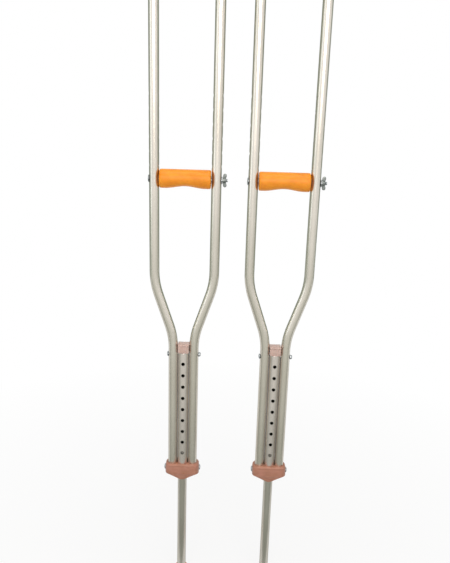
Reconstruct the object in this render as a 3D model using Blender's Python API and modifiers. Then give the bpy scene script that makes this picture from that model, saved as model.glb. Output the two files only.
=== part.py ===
"""A pair of adult underarm crutches in aluminium tube, standing upright side by side.

Units are metres and +Z is up. The origin is on the floor, midway between the two rubber tips.
Both crutches are built from the same pieces. Each has its own frame, with the leg's axis on Z,
the snap button on its front (-Y), the grip bolt's head on its bolt side (-X) and the wing nut
on its nut side (+X).
"""

import math

import bmesh
import bpy
from mathutils import Matrix

INCH = 0.0254

# Layout of the pair
CRUTCH_SPACING = 0.187
OVERALL_HEIGHT = 53 * INCH

# Air left between pieces that touch on the real crutch
CLEARANCE = 0.0003

# Tubes
BOW_RADIUS = 0.75 * INCH / 2
BOW_WALL = 0.0012
LEG_RADIUS = 0.875 * INCH / 2
LEG_WALL = 0.0011
EXTENSION_RADIUS = 0.75 * INCH / 2
EXTENSION_WALL = 0.0012
TUBE_GAP = 0.0003
TUBE_SIDES = 24
BORE_SIDES = 16
PIN_SIDES = 10

# Bow: straight along the grip, drawn in by an S-bend to lie against the leg tube
BOW_HALF_SPACING = 0.05885
BOW_LEG_OFFSET = BOW_RADIUS + LEG_RADIUS + TUBE_GAP
BOW_BOTTOM_Z = 0.2895
BOW_LOWER_CORNER_Z = 0.596
BOW_UPPER_CORNER_Z = 0.708
BOW_TOP_Z = 1.300
BOW_BEND_RADIUS = 0.150
BOW_BEND_STEPS = 4

# Leg tube and its row of button holes, on the front only
HOLE_PITCH = INCH
LEG_HOLE_COUNT = 9
TOP_HOLE_Z = 0.540
BUTTON_HOLE_RADIUS = 0.0037
LEG_TOP_Z = 0.563
LEG_BOTTOM_Z = 0.279
BUTTON_Z = TOP_HOLE_Z - (LEG_HOLE_COUNT - 1) * HOLE_PITCH

# Extension tube
EXTENSION_TOP_ABOVE_BUTTON = 0.010
EXTENSION_BOTTOM_Z = 0.0186

# Snap button and its leaf spring, measured from the button hole on the leg's axis
BUTTON_RADIUS = 0.0032
BUTTON_REACH = 0.0134
BUTTON_FLANGE_RADIUS = 0.0046
BUTTON_FLANGE_FRONT = 0.0064
BUTTON_FLANGE_BACK = 0.0053
SPRING_FRONT = 0.0047
SPRING_BACK = 0.0070
SPRING_DROP = 0.030
SPRING_HALF_WIDTH = 0.003
SPRING_THICKNESS = 0.0006
SPRING_BEND_STEPS = 6

# Spacer block on top of the leg tube, with a cap between the bows and a plug in the tube
BLOCK_HALF_WIDTH = 0.0111
BLOCK_HALF_DEPTH = 0.0102
BLOCK_CAP_HALF_WIDTH = 0.0113
BLOCK_CAP_HALF_DEPTH = 0.0111
BLOCK_CAP_THICKNESS = 0.0030
BLOCK_TOP_Z = 0.5812
BLOCK_PLUG_RADIUS = 0.0096
BLOCK_PLUG_BOTTOM_Z = 0.5515
CROSS_BOLT_Z = 0.5585
CROSS_BOLT_RADIUS = 0.0025
PIN_HOLE_SLACK = 0.0005
CROSS_HEAD_RADIUS = 0.0052
CROSS_HEAD_HEIGHT = 0.0028
CROSS_NUT_RADIUS = 0.0048
CROSS_NUT_HEIGHT = 0.0042

# Collar round the three tubes, narrowing to a neck on the extension tube
COLLAR_TOP_Z = 0.310
COLLAR_BODY_BOTTOM_Z = 0.2868
COLLAR_NECK_BOTTOM_Z = 0.2730
COLLAR_HALF_WIDTH = 0.0359
COLLAR_HALF_DEPTH = 0.0155
COLLAR_CORNER_RADIUS = 0.0105
COLLAR_NECK_RADIUS = 0.0122
COLLAR_EDGE = 0.0016
COLLAR_SHOULDER = 0.0074
COLLAR_CORNER_STEPS = 5
RIVET_Z = 0.297
RIVET_RADIUS = 0.0020
RIVET_HEAD_RADIUS = 0.0056
RIVET_HEAD_HEIGHT = 0.0027

# Hand grip on its bolt, seven holes in each bow; it is in the lowest
GRIP_Z = 0.9113
GRIP_HOLE_COUNT = 7
GRIP_HALF_LENGTH = 0.0484
GRIP_TOP = 0.0187
GRIP_BOTTOM_AT_ENDS = 0.0170
GRIP_BOTTOM_AT_WAIST = 0.0127
GRIP_DEPTH_AT_ENDS = 0.0182
GRIP_DEPTH_AT_WAIST = 0.0168
GRIP_EDGE = 0.0030
GRIP_SIDES = 16
GRIP_CORE_RADIUS = 0.0075
GRIP_CORE_BORE = 0.0036
GRIP_BOLT_RADIUS = 0.125 * INCH
GRIP_BOLT_HOLE_RADIUS = 0.0036
GRIP_HEAD_RADIUS = 0.0070
GRIP_HEAD_HEIGHT = 0.0018
GRIP_WASHER_RADIUS = 0.0070
GRIP_WASHER_THICKNESS = 0.0011
GRIP_BOLT_END = 0.0800

# Wing nut
WING_SPAN = 0.0256
WING_THICKNESS = 0.0022
WING_TOP = 0.0079
HUB_RADIUS = 0.0055
HUB_TOP_RADIUS = 0.0046
HUB_HEIGHT = 0.0066

# Underarm saddle and pad
SADDLE_HALF_LENGTH = 0.0715
SADDLE_HALF_DEPTH = 0.0105
SADDLE_BOTTOM_Z = 1.288
SADDLE_TOP_Z = 1.311
SOCKET_RADIUS = 0.0125
SOCKET_BOTTOM_Z = 1.262
SADDLE_SCREW_Z = 1.272
SADDLE_SCREW_RADIUS = 0.0020
SADDLE_SCREW_HEAD_RADIUS = 0.0042
SADDLE_SCREW_HEAD_HEIGHT = 0.0020
PAD_HALF_LENGTH = 0.086
PAD_BOTTOM_Z = 1.282
PAD_DIP = 0.014
PAD_HALF_WIDTH = 0.0235
PAD_CAVITY_GAP = 0.0005

# Rubber tip and the washer in it
TIP_HEIGHT = 0.042
TIP_FOOT_RADIUS = 0.0195
TIP_NECK_RADIUS = 0.0136
TIP_FLOOR_THICKNESS = 0.0165
TIP_SIDES = 20
TIP_WASHER_RADIUS = 0.0088
TIP_WASHER_THICKNESS = 0.0015

# Colours as red, green and blue, with roughness and metallic
FINISHES = {
    "anodised aluminium": ((0.72, 0.71, 0.67), 0.32, 1.0),
    "amber rubber": ((0.86, 0.38, 0.07), 0.42, 0.0),
    "tan plastic": ((0.55, 0.30, 0.19), 0.45, 0.0),
    "zinc-plated steel": ((0.52, 0.54, 0.52), 0.35, 1.0),
    "spring steel": ((0.38, 0.38, 0.38), 0.4, 1.0),
}

PART_COLLECTION = "underarm_crutches"
CUTTER_COLLECTION = "cutters"

SIDES = ((-1, "bolt_side"), (1, "nut_side"))

# Turns that lay a piece's own Z along another direction
AXIS_TURNS = {
    "X": Matrix.Rotation(math.pi / 2, 4, "Y"),
    "-X": Matrix.Rotation(-math.pi / 2, 4, "Y"),
    "-Y": Matrix.Rotation(math.pi / 2, 4, "X"),
    "Z": Matrix.Identity(4),
}


def empty_the_scene():
    for thing in list(bpy.data.objects):
        bpy.data.objects.remove(thing, do_unlink=True)


def new_collection(name):
    group = bpy.data.collections.new(name)
    bpy.context.scene.collection.children.link(group)
    return group


def finish(name):
    """The material of that name, made the first time it is asked for."""
    material = bpy.data.materials.get(name)
    if material is None:
        colour, roughness, metallic = FINISHES[name]
        material = bpy.data.materials.new(name)
        material.use_nodes = True
        shader = material.node_tree.nodes["Principled BSDF"]
        shader.inputs["Base Color"].default_value = (*colour, 1.0)
        shader.inputs["Roughness"].default_value = roughness
        shader.inputs["Metallic"].default_value = metallic
    return material


def add_object(name, mesh, parent, location=(0, 0, 0), axis="Z", material=None, crease=40):
    """Put a mesh in the scene under a parent. Without a material it is a cutter."""
    thing = bpy.data.objects.new(name, mesh)
    group = PART_COLLECTION if material else CUTTER_COLLECTION
    bpy.data.collections[group].objects.link(thing)
    thing.parent = parent
    thing.matrix_local = Matrix.Translation(location) @ AXIS_TURNS[axis]
    if material:
        mesh.materials.clear()
        mesh.materials.append(finish(material))
        mesh.shade_smooth()
        mesh.set_sharp_from_angle(angle=math.radians(crease))
    else:
        thing.display_type = "WIRE"
        thing.hide_render = True
    return thing


def mesh_from(name, shape):
    mesh = bpy.data.meshes.new(name)
    shape.to_mesh(mesh)
    shape.free()
    return mesh


def add_cylinder(shape, radius, length, place, sides):
    bmesh.ops.create_cone(
        shape,
        cap_ends=True,
        segments=sides,
        radius1=radius,
        radius2=radius,
        depth=length,
        matrix=place,
    )


def cylinder_mesh(name, radius, low, high, sides):
    """A closed cylinder along Z from low to high."""
    shape = bmesh.new()
    add_cylinder(shape, radius, high - low, Matrix.Translation((0, 0, (low + high) / 2)), sides)
    return mesh_from(name, shape)


def box_mesh(name, low, high):
    shape = bmesh.new()
    sizes = [b - a for a, b in zip(low, high)]
    middle = [(a + b) / 2 for a, b in zip(low, high)]
    spread = Matrix.Diagonal((*sizes, 1.0))
    bmesh.ops.create_cube(shape, size=1.0, matrix=Matrix.Translation(middle) @ spread)
    return mesh_from(name, shape)


def profile_mesh(name, points, closed):
    """Edges through (radius, height) points, to be turned round Z."""
    count = len(points)
    edges = [(i, i + 1) for i in range(count - 1)]
    if closed:
        edges.append((count - 1, 0))
    mesh = bpy.data.meshes.new(name)
    mesh.from_pydata([(r, 0, z) for r, z in points], edges, [])
    return mesh


def turned(name, points, parent, location=(0, 0, 0), axis="Z", material=None, closed=False,
           sides=TUBE_SIDES):
    """A turned piece. Its outer side is listed from top to bottom."""
    thing = add_object(name, profile_mesh(name, points, closed), parent, location, axis, material)
    screw = thing.modifiers.new("turn", "SCREW")
    screw.axis = "Z"
    screw.angle = 2 * math.pi
    screw.steps = sides
    screw.render_steps = sides
    screw.use_merge_vertices = True
    screw.merge_threshold = 0.00001
    screw.use_smooth_shade = True
    return thing


def boolean(thing, cutter, operation="DIFFERENCE"):
    modifier = thing.modifiers.new(cutter.name, "BOOLEAN")
    modifier.operation = operation
    modifier.solver = "EXACT"
    modifier.object = cutter


def add_round(thing, mark, radius, low, high, x=0.0):
    """Join an upright cylinder to a piece."""
    name = f"{thing.name}_{mark}"
    mesh = cylinder_mesh(name, radius, low, high, BORE_SIDES)
    boolean(thing, add_object(name, mesh, thing.parent, (x, 0, 0)), "UNION")


def bore(thing, mark, radius, low, high, x=0.0):
    """Cut an upright round hole in a piece."""
    name = f"{thing.name}_{mark}"
    mesh = cylinder_mesh(name, radius, low, high, BORE_SIDES)
    boolean(thing, add_object(name, mesh, thing.parent, (x, 0, 0)))


def drill(thing, mark, radius, length, places, axis="X", sides=6):
    """Cut equal round holes in a piece, one through each place."""
    name = f"{thing.name}_{mark}"
    shape = bmesh.new()
    for place in places:
        add_cylinder(shape, radius, length, Matrix.Translation(place) @ AXIS_TURNS[axis], sides)
    boolean(thing, add_object(name, mesh_from(name, shape), thing.parent))


def bevel(thing, width, segments=2, angle=40):
    modifier = thing.modifiers.new("bevel", "BEVEL")
    modifier.width = width
    modifier.segments = segments
    modifier.limit_method = "ANGLE"
    modifier.angle_limit = math.radians(angle)


def mesh_of_curve(curve_object, name):
    """The mesh of a filled curve, with its loose caps welded on."""
    depsgraph = bpy.context.evaluated_depsgraph_get()
    mesh = bpy.data.meshes.new_from_object(curve_object.evaluated_get(depsgraph))
    mesh.name = name
    shape = bmesh.new()
    shape.from_mesh(mesh)
    bmesh.ops.remove_doubles(shape, verts=shape.verts, dist=0.00001)
    shape.to_mesh(mesh)
    shape.free()
    bpy.data.objects.remove(curve_object, do_unlink=True)
    return mesh


def round_bar_mesh(name, points, radius, resolution):
    """A solid round bar along a path in the XZ plane."""
    curve = bpy.data.curves.new(name, "CURVE")
    curve.dimensions = "3D"
    curve.bevel_depth = radius
    curve.bevel_resolution = resolution
    curve.use_fill_caps = True
    spline = curve.splines.new("POLY")
    spline.points.add(len(points) - 1)
    for point, (x, z) in zip(spline.points, points):
        point.co = (x, 0, z, 1)
    bar = bpy.data.objects.new(name, curve)
    bpy.context.scene.collection.objects.link(bar)
    return mesh_of_curve(bar, name)


def plate_mesh(name, outline, thickness):
    """A flat plate in the XY plane."""
    curve = bpy.data.curves.new(name, "CURVE")
    curve.dimensions = "2D"
    curve.fill_mode = "BOTH"
    curve.extrude = thickness / 2
    spline = curve.splines.new("POLY")
    spline.points.add(len(outline) - 1)
    for point, (x, y) in zip(spline.points, outline):
        point.co = (x, y, 0, 1)
    spline.use_cyclic_u = True
    plate = bpy.data.objects.new(name, curve)
    bpy.context.scene.collection.objects.link(plate)
    return mesh_of_curve(plate, name)


def loft_mesh(name, rings):
    """A closed skin through rings of points that have one count."""
    shape = bmesh.new()
    loops = [[shape.verts.new(point) for point in ring] for ring in rings]
    for near, far in zip(loops, loops[1:]):
        for i, corner in enumerate(near):
            j = (i + 1) % len(near)
            shape.faces.new((corner, near[j], far[j], far[i]))
    shape.faces.new(loops[0])
    shape.faces.new(loops[-1])
    bmesh.ops.recalc_face_normals(shape, faces=shape.faces)
    return mesh_from(name, shape)


def clear_radius(radius):
    """Radius of a many-sided hole whose flats keep the clearance to a round piece."""
    return (radius + CLEARANCE) / math.cos(math.pi / BORE_SIDES)


def rounded_path(corners, radius, steps):
    """A path in a plane whose inner corners are replaced by arcs."""
    path = [corners[0]]
    for before, corner, after in zip(corners, corners[1:], corners[2:]):
        start = math.atan2(corner[1] - before[1], corner[0] - before[0])
        end = math.atan2(after[1] - corner[1], after[0] - corner[0])
        turn = end - start
        tangent = radius * math.tan(abs(turn) / 2)
        side = math.copysign(1, turn)
        entry = (corner[0] - tangent * math.cos(start), corner[1] - tangent * math.sin(start))
        centre = (entry[0] - side * radius * math.sin(start), entry[1] + side * radius * math.cos(start))
        for i in range(steps + 1):
            angle = start + turn * i / steps
            x = centre[0] + side * radius * math.sin(angle)
            z = centre[1] - side * radius * math.cos(angle)
            path.append((x, z))
    path.append(corners[-1])
    return path


def bow_corners(extra=0.0):
    """Corners of the nut side bow's centre line, from its foot up, run on by a length."""
    return [
        (BOW_LEG_OFFSET, BOW_BOTTOM_Z - extra),
        (BOW_LEG_OFFSET, BOW_LOWER_CORNER_Z),
        (BOW_HALF_SPACING, BOW_UPPER_CORNER_Z),
        (BOW_HALF_SPACING, BOW_TOP_Z + extra),
    ]


def bow_path(side, extra=0.0):
    path = rounded_path(bow_corners(extra), BOW_BEND_RADIUS, BOW_BEND_STEPS)
    return [(side * x, z) for x, z in path]


def make_bow(crutch, frame, side, side_name):
    """A side tube of the bow, with its row of grip holes and the holes of its fastenings."""
    name = f"{crutch}_bow_{side_name}"
    bow = add_object(name, round_bar_mesh(name, bow_path(side), BOW_RADIUS, 6), frame,
                     material="anodised aluminium")
    inside = round_bar_mesh(name + "_inside", bow_path(side, 0.002), BOW_RADIUS - BOW_WALL, 2)
    boolean(bow, add_object(name + "_inside", inside, frame))

    upper, lower = side * BOW_HALF_SPACING, side * BOW_LEG_OFFSET
    outwards = side * BOW_RADIUS
    grip_holes = [(upper, 0, GRIP_Z + i * HOLE_PITCH) for i in range(GRIP_HOLE_COUNT)]
    drill(bow, "grip_holes", GRIP_BOLT_HOLE_RADIUS, 0.024, grip_holes, sides=8)
    drill(bow, "cross_hole", CROSS_BOLT_RADIUS + PIN_HOLE_SLACK, 0.024, [(lower, 0, CROSS_BOLT_Z)])
    drill(bow, "rivet_hole", RIVET_RADIUS + PIN_HOLE_SLACK, 0.012, [(lower + outwards, 0, RIVET_Z)])
    screw_place = (upper + outwards, 0, SADDLE_SCREW_Z)
    drill(bow, "screw_hole", SADDLE_SCREW_RADIUS + PIN_HOLE_SLACK, 0.012, [screw_place])


def straight_tube(name, parent, radius, wall, low, high):
    """A tube along Z with its ends' outer edges broken."""
    edge = 0.0003
    profile = [
        (radius - edge, high),
        (radius, high - edge),
        (radius, low + edge),
        (radius - edge, low),
        (radius - wall, low),
        (radius - wall, high),
    ]
    return turned(name, profile, parent, material="anodised aluminium", closed=True)


def make_leg_tube(crutch, frame):
    """The button holes go through its front wall only, the cross bolt through both sides."""
    leg = straight_tube(f"{crutch}_leg_tube", frame, LEG_RADIUS, LEG_WALL, LEG_BOTTOM_Z, LEG_TOP_Z)
    places = [(0, -LEG_RADIUS, TOP_HOLE_Z - i * HOLE_PITCH) for i in range(LEG_HOLE_COUNT)]
    drill(leg, "button_holes", BUTTON_HOLE_RADIUS, 0.010, places, "-Y", 10)
    drill(leg, "cross_hole", CROSS_BOLT_RADIUS + PIN_HOLE_SLACK, 0.040, [(0, 0, CROSS_BOLT_Z)])


def make_extension_tube(crutch, leg_axis):
    low, high = EXTENSION_BOTTOM_Z - BUTTON_Z, EXTENSION_TOP_ABOVE_BUTTON
    name = f"{crutch}_extension_tube"
    tube = straight_tube(name, leg_axis, EXTENSION_RADIUS, EXTENSION_WALL, low, high)
    drill(tube, "button_hole", BUTTON_HOLE_RADIUS, 0.008, [(0, -0.008, 0)], "-Y", 10)


def make_snap_button(crutch, leg_axis):
    """A domed button whose flange holds it in the extension tube."""
    profile = [
        (0, BUTTON_REACH),
        (BUTTON_RADIUS * 0.55, BUTTON_REACH - 0.0003),
        (BUTTON_RADIUS * 0.9, BUTTON_REACH - 0.0010),
        (BUTTON_RADIUS, BUTTON_REACH - 0.0019),
        (BUTTON_RADIUS, BUTTON_FLANGE_FRONT),
        (BUTTON_FLANGE_RADIUS, BUTTON_FLANGE_FRONT),
        (BUTTON_FLANGE_RADIUS, BUTTON_FLANGE_BACK),
        (0, BUTTON_FLANGE_BACK),
    ]
    turned(f"{crutch}_snap_button", profile, leg_axis, axis="-Y", material="zinc-plated steel", sides=12)


def make_button_spring(crutch, leg_axis):
    """A leaf bent in a V: its front leg bears on the button, its back leg on the tube."""
    name = f"{crutch}_button_spring"
    bend = (SPRING_FRONT + SPRING_BACK) / 2
    middle = (SPRING_BACK - SPRING_FRONT) / 2
    path = [(-SPRING_FRONT, 0.005)]
    for i in range(SPRING_BEND_STEPS + 1):
        angle = math.pi + math.pi * i / SPRING_BEND_STEPS
        path.append((middle + bend * math.cos(angle), -SPRING_DROP + bend * math.sin(angle)))
    path.append((SPRING_BACK, 0.003))
    shape = bmesh.new()
    line = [shape.verts.new((-SPRING_HALF_WIDTH, y, z)) for y, z in path]
    edges = [shape.edges.new(pair) for pair in zip(line, line[1:])]
    grown = bmesh.ops.extrude_edge_only(shape, edges=edges)["geom"]
    moved = [item for item in grown if isinstance(item, bmesh.types.BMVert)]
    bmesh.ops.translate(shape, verts=moved, vec=(2 * SPRING_HALF_WIDTH, 0, 0))
    leaf = add_object(name, mesh_from(name, shape), leg_axis, material="spring steel")
    thickness = leaf.modifiers.new("thickness", "SOLIDIFY")
    thickness.thickness = SPRING_THICKNESS
    thickness.offset = 0


def bevelled_box(name, parent, low, high, width, material=None):
    box = add_object(name, box_mesh(name, low, high), parent, material=material)
    bevel(box, width)
    return box


def make_spacer_block(crutch, frame):
    """It stands on the leg tube between the bows, held by its plug and the cross bolt."""
    name = f"{crutch}_spacer_block"
    low = (-BLOCK_HALF_WIDTH, -BLOCK_HALF_DEPTH, LEG_TOP_Z + CLEARANCE)
    high = (BLOCK_HALF_WIDTH, BLOCK_HALF_DEPTH, BLOCK_TOP_Z - 0.001)
    block = bevelled_box(name, frame, low, high, 0.0010, "tan plastic")
    low = (-BLOCK_CAP_HALF_WIDTH, -BLOCK_CAP_HALF_DEPTH, BLOCK_TOP_Z - BLOCK_CAP_THICKNESS)
    high = (BLOCK_CAP_HALF_WIDTH, BLOCK_CAP_HALF_DEPTH, BLOCK_TOP_Z)
    boolean(block, bevelled_box(name + "_cap", frame, low, high, 0.0008), "UNION")
    add_round(block, "plug", BLOCK_PLUG_RADIUS, BLOCK_PLUG_BOTTOM_Z, LEG_TOP_Z + 0.002)
    drill(block, "cross_hole", CROSS_BOLT_RADIUS + PIN_HOLE_SLACK, 0.040, [(0, 0, CROSS_BOLT_Z)])


def headed_pin(name, parent, head_x, end_x, z, head_radius, head_height, radius,
               sides=PIN_SIDES):
    """A round-headed pin along X: the head bears at head_x, and the shank ends at end_x."""
    length = abs(end_x - head_x)
    profile = [
        (0, head_height),
        (head_radius * 0.5, head_height * 0.9),
        (head_radius * 0.85, head_height * 0.55),
        (head_radius, 0.0003),
        (head_radius, 0),
        (radius, 0),
        (radius, -length + 0.0005),
        (radius - 0.0005, -length),
        (0, -length),
    ]
    axis = "X" if head_x > end_x else "-X"
    turned(name, profile, parent, (head_x, 0, z), axis, "zinc-plated steel", sides=sides)


def make_cross_bolt(crutch, frame):
    outside = BOW_LEG_OFFSET + BOW_RADIUS + CLEARANCE
    end = outside + CROSS_NUT_HEIGHT - 0.0016
    headed_pin(
        f"{crutch}_cross_bolt", frame, -outside, end, CROSS_BOLT_Z,
        CROSS_HEAD_RADIUS, CROSS_HEAD_HEIGHT, CROSS_BOLT_RADIUS,
    )
    inside = CROSS_BOLT_RADIUS + PIN_HOLE_SLACK
    inside_end = CROSS_NUT_HEIGHT - 0.0012
    profile = [
        (0, CROSS_NUT_HEIGHT),
        (CROSS_NUT_RADIUS * 0.5, CROSS_NUT_HEIGHT - 0.0005),
        (CROSS_NUT_RADIUS * 0.85, CROSS_NUT_HEIGHT - 0.0015),
        (CROSS_NUT_RADIUS * 0.88, CROSS_NUT_HEIGHT * 0.5),
        (CROSS_NUT_RADIUS, CROSS_NUT_HEIGHT * 0.5 - 0.0003),
        (CROSS_NUT_RADIUS, 0),
        (inside, 0),
        (inside, inside_end),
        (0, inside_end),
    ]
    name = f"{crutch}_cross_bolt_nut"
    place = (outside, 0, CROSS_BOLT_Z)
    turned(name, profile, frame, place, "X", "zinc-plated steel", sides=PIN_SIDES)


def rounded_ring(half_width, half_depth, corner, z, sweep=90):
    """Points round a rectangle with round corners. With a sweep of 75 they lie on a circle."""
    ring = []
    for i in range(4):
        across = half_width - corner if i in (0, 3) else corner - half_width
        along = half_depth - corner if i in (0, 1) else corner - half_depth
        for j in range(COLLAR_CORNER_STEPS + 1):
            angle = math.radians(90 * i + 45 + sweep * (j / COLLAR_CORNER_STEPS - 0.5))
            ring.append((across + corner * math.cos(angle), along + corner * math.sin(angle), z))
    return ring


def make_collar(crutch, frame):
    """A body moulded round the ends of the three tubes: sloping shoulders above, a neck below."""
    name = f"{crutch}_collar"
    width, depth, corner = COLLAR_HALF_WIDTH, COLLAR_HALF_DEPTH, COLLAR_CORNER_RADIUS
    edge, drop, neck = COLLAR_EDGE, COLLAR_SHOULDER, COLLAR_NECK_RADIUS
    rings = [
        rounded_ring(width - drop, depth - 0.0026, corner - 0.0026, COLLAR_TOP_Z),
        rounded_ring(width - drop * 0.35, depth - 0.0008, corner - 0.0008, COLLAR_TOP_Z - drop * 0.16),
        rounded_ring(width - drop * 0.05, depth, corner, COLLAR_TOP_Z - drop * 0.62),
        rounded_ring(width, depth, corner, COLLAR_TOP_Z - drop),
        rounded_ring(width, depth, corner, COLLAR_BODY_BOTTOM_Z + edge),
        rounded_ring(width - edge, depth - 0.0008, corner - edge, COLLAR_BODY_BOTTOM_Z),
        rounded_ring(0.0235, 0.0142, 0.0100, COLLAR_BODY_BOTTOM_Z - 0.0052),
        rounded_ring(neck, neck, neck, COLLAR_NECK_BOTTOM_Z, 75),
    ]
    collar = add_object(name, loft_mesh(name, rings), frame, material="tan plastic")
    above, below = COLLAR_TOP_Z + 0.01, COLLAR_NECK_BOTTOM_Z - 0.01
    bore(collar, "leg_pocket", clear_radius(LEG_RADIUS), LEG_BOTTOM_Z - CLEARANCE, above)
    bore(collar, "neck_bore", clear_radius(EXTENSION_RADIUS), below, LEG_BOTTOM_Z + 0.002)
    floor = BOW_BOTTOM_Z - CLEARANCE
    rivet_places = []
    for side, side_name in SIDES:
        x = side * BOW_LEG_OFFSET
        bore(collar, "pocket_" + side_name, clear_radius(BOW_RADIUS), floor, above, x)
        rivet_places.append((side * COLLAR_HALF_WIDTH, 0, RIVET_Z))
    drill(collar, "rivet_holes", RIVET_RADIUS + PIN_HOLE_SLACK, 0.012, rivet_places)


def make_collar_rivet(crutch, frame, side, side_name):
    head = COLLAR_HALF_WIDTH + CLEARANCE
    end = BOW_LEG_OFFSET + BOW_RADIUS - BOW_WALL - 0.0015
    headed_pin(
        f"{crutch}_collar_rivet_{side_name}", frame, side * head, side * end, RIVET_Z,
        RIVET_HEAD_RADIUS, RIVET_HEAD_HEIGHT, RIVET_RADIUS,
    )


def grip_ring(x, inset):
    """The grip's section: flat along its top, waisted below for the fingers."""
    along = min(1.0, abs(x) / (GRIP_HALF_LENGTH * 0.78))
    swell = along * along * (3 - 2 * along)
    below = GRIP_BOTTOM_AT_WAIST + (GRIP_BOTTOM_AT_ENDS - GRIP_BOTTOM_AT_WAIST) * swell
    depth = GRIP_DEPTH_AT_WAIST + (GRIP_DEPTH_AT_ENDS - GRIP_DEPTH_AT_WAIST) * swell
    ring = []
    for i in range(GRIP_SIDES):
        angle = 2 * math.pi * i / GRIP_SIDES
        height = GRIP_TOP if math.sin(angle) > 0 else below
        ring.append((x, (depth - inset) * math.cos(angle), (height - inset) * math.sin(angle)))
    return ring


def make_grip(crutch, grip_axis):
    name = f"{crutch}_grip"
    straight = [0.010, 0.020, 0.029, 0.037, GRIP_HALF_LENGTH - GRIP_EDGE]
    half = [(x, 0.0) for x in straight]
    half += [(GRIP_HALF_LENGTH - GRIP_EDGE * 0.3, GRIP_EDGE * 0.3), (GRIP_HALF_LENGTH, GRIP_EDGE)]
    stations = [(-x, inset) for x, inset in reversed(half)] + [(0.0, 0.0)] + half
    rings = [grip_ring(x, inset) for x, inset in stations]
    grip = add_object(name, loft_mesh(name, rings), grip_axis, material="amber rubber")
    radius = clear_radius(GRIP_CORE_RADIUS)
    drill(grip, "bore", radius, 2 * BOW_HALF_SPACING, [(0, 0, 0)], sides=BORE_SIDES)


def make_grip_core(crutch, grip_axis):
    """A tube through the grip that keeps the bows apart and takes the bolt."""
    half = BOW_HALF_SPACING - BOW_RADIUS - CLEARANCE
    outer, inner = GRIP_CORE_RADIUS, GRIP_CORE_BORE
    profile = [(outer, half), (outer, -half), (inner, -half), (inner, half)]
    name = f"{crutch}_grip_core"
    turned(name, profile, grip_axis, axis="X", material="tan plastic", closed=True, sides=16)


def make_grip_bolt(crutch, grip_axis):
    outside = BOW_HALF_SPACING + BOW_RADIUS + CLEARANCE
    headed_pin(
        f"{crutch}_grip_bolt", grip_axis, -outside, GRIP_BOLT_END, 0,
        GRIP_HEAD_RADIUS, GRIP_HEAD_HEIGHT, GRIP_BOLT_RADIUS, sides=14,
    )
    outer, inner, top = GRIP_WASHER_RADIUS, GRIP_CORE_BORE, GRIP_WASHER_THICKNESS
    profile = [(outer, top), (outer, 0), (inner, 0), (inner, top)]
    name = f"{crutch}_grip_washer"
    place = (outside, 0, 0)
    turned(name, profile, grip_axis, place, "X", "zinc-plated steel", closed=True, sides=16)


def wing_outline():
    """Both wings as one plate through the hub: X is outwards from the bow, Y is across."""
    reach = WING_SPAN / 2
    half = [
        (0.0006, 0.0015),
        (0.0008, reach * 0.62),
        (0.0018, reach * 0.90),
        (0.0036, reach),
        (0.0060, reach),
        (WING_TOP - 0.0003, reach * 0.88),
        (WING_TOP, reach * 0.66),
        (0.0072, reach * 0.45),
        (0.0060, 0.0015),
    ]
    return half + [(x, -y) for x, y in reversed(half)]


def make_wing_nut(crutch, grip_axis):
    name = f"{crutch}_wing_nut"
    seat = BOW_HALF_SPACING + BOW_RADIUS + GRIP_WASHER_THICKNESS + 2 * CLEARANCE
    profile = [
        (0, HUB_HEIGHT),
        (HUB_TOP_RADIUS, HUB_HEIGHT),
        (HUB_RADIUS, 0.0010),
        (HUB_RADIUS, 0),
        (0, 0),
    ]
    nut = turned(name, profile, grip_axis, (seat, 0, 0), "X", "zinc-plated steel", sides=16)
    plate = plate_mesh(name + "_wings", wing_outline(), WING_THICKNESS)
    wings = add_object(name + "_wings", plate, grip_axis, (seat, 0, 0), "-Y")
    boolean(nut, wings, "UNION")
    drill(nut, "bore", GRIP_CORE_BORE, 0.030, [(seat, 0, 0)], sides=16)


def make_saddle(crutch, frame):
    """A bar that joins the bows' tops, with a socket on each."""
    name = f"{crutch}_underarm_saddle"
    low = (-SADDLE_HALF_LENGTH, -SADDLE_HALF_DEPTH, SADDLE_BOTTOM_Z)
    high = (SADDLE_HALF_LENGTH, SADDLE_HALF_DEPTH, SADDLE_TOP_Z)
    saddle = bevelled_box(name, frame, low, high, 0.003, "tan plastic")
    screw_places = []
    for side, side_name in SIDES:
        x = side * BOW_HALF_SPACING
        add_round(saddle, "socket_" + side_name, SOCKET_RADIUS, SOCKET_BOTTOM_Z, SADDLE_TOP_Z - 0.0015, x)
        bore(saddle, "bore_" + side_name, clear_radius(BOW_RADIUS), 1.25, BOW_TOP_Z + CLEARANCE, x)
        screw_places.append((side * (BOW_HALF_SPACING + SOCKET_RADIUS), 0, SADDLE_SCREW_Z))
    drill(saddle, "screw_holes", SADDLE_SCREW_RADIUS + PIN_HOLE_SLACK, 0.010, screw_places)


def make_saddle_screw(crutch, frame, side, side_name):
    head = BOW_HALF_SPACING + SOCKET_RADIUS + CLEARANCE
    end = BOW_HALF_SPACING + BOW_RADIUS - BOW_WALL - 0.0020
    headed_pin(
        f"{crutch}_saddle_screw_{side_name}", frame, side * head, side * end, SADDLE_SCREW_Z,
        SADDLE_SCREW_HEAD_RADIUS, SADDLE_SCREW_HEAD_HEIGHT, SADDLE_SCREW_RADIUS,
    )


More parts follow.
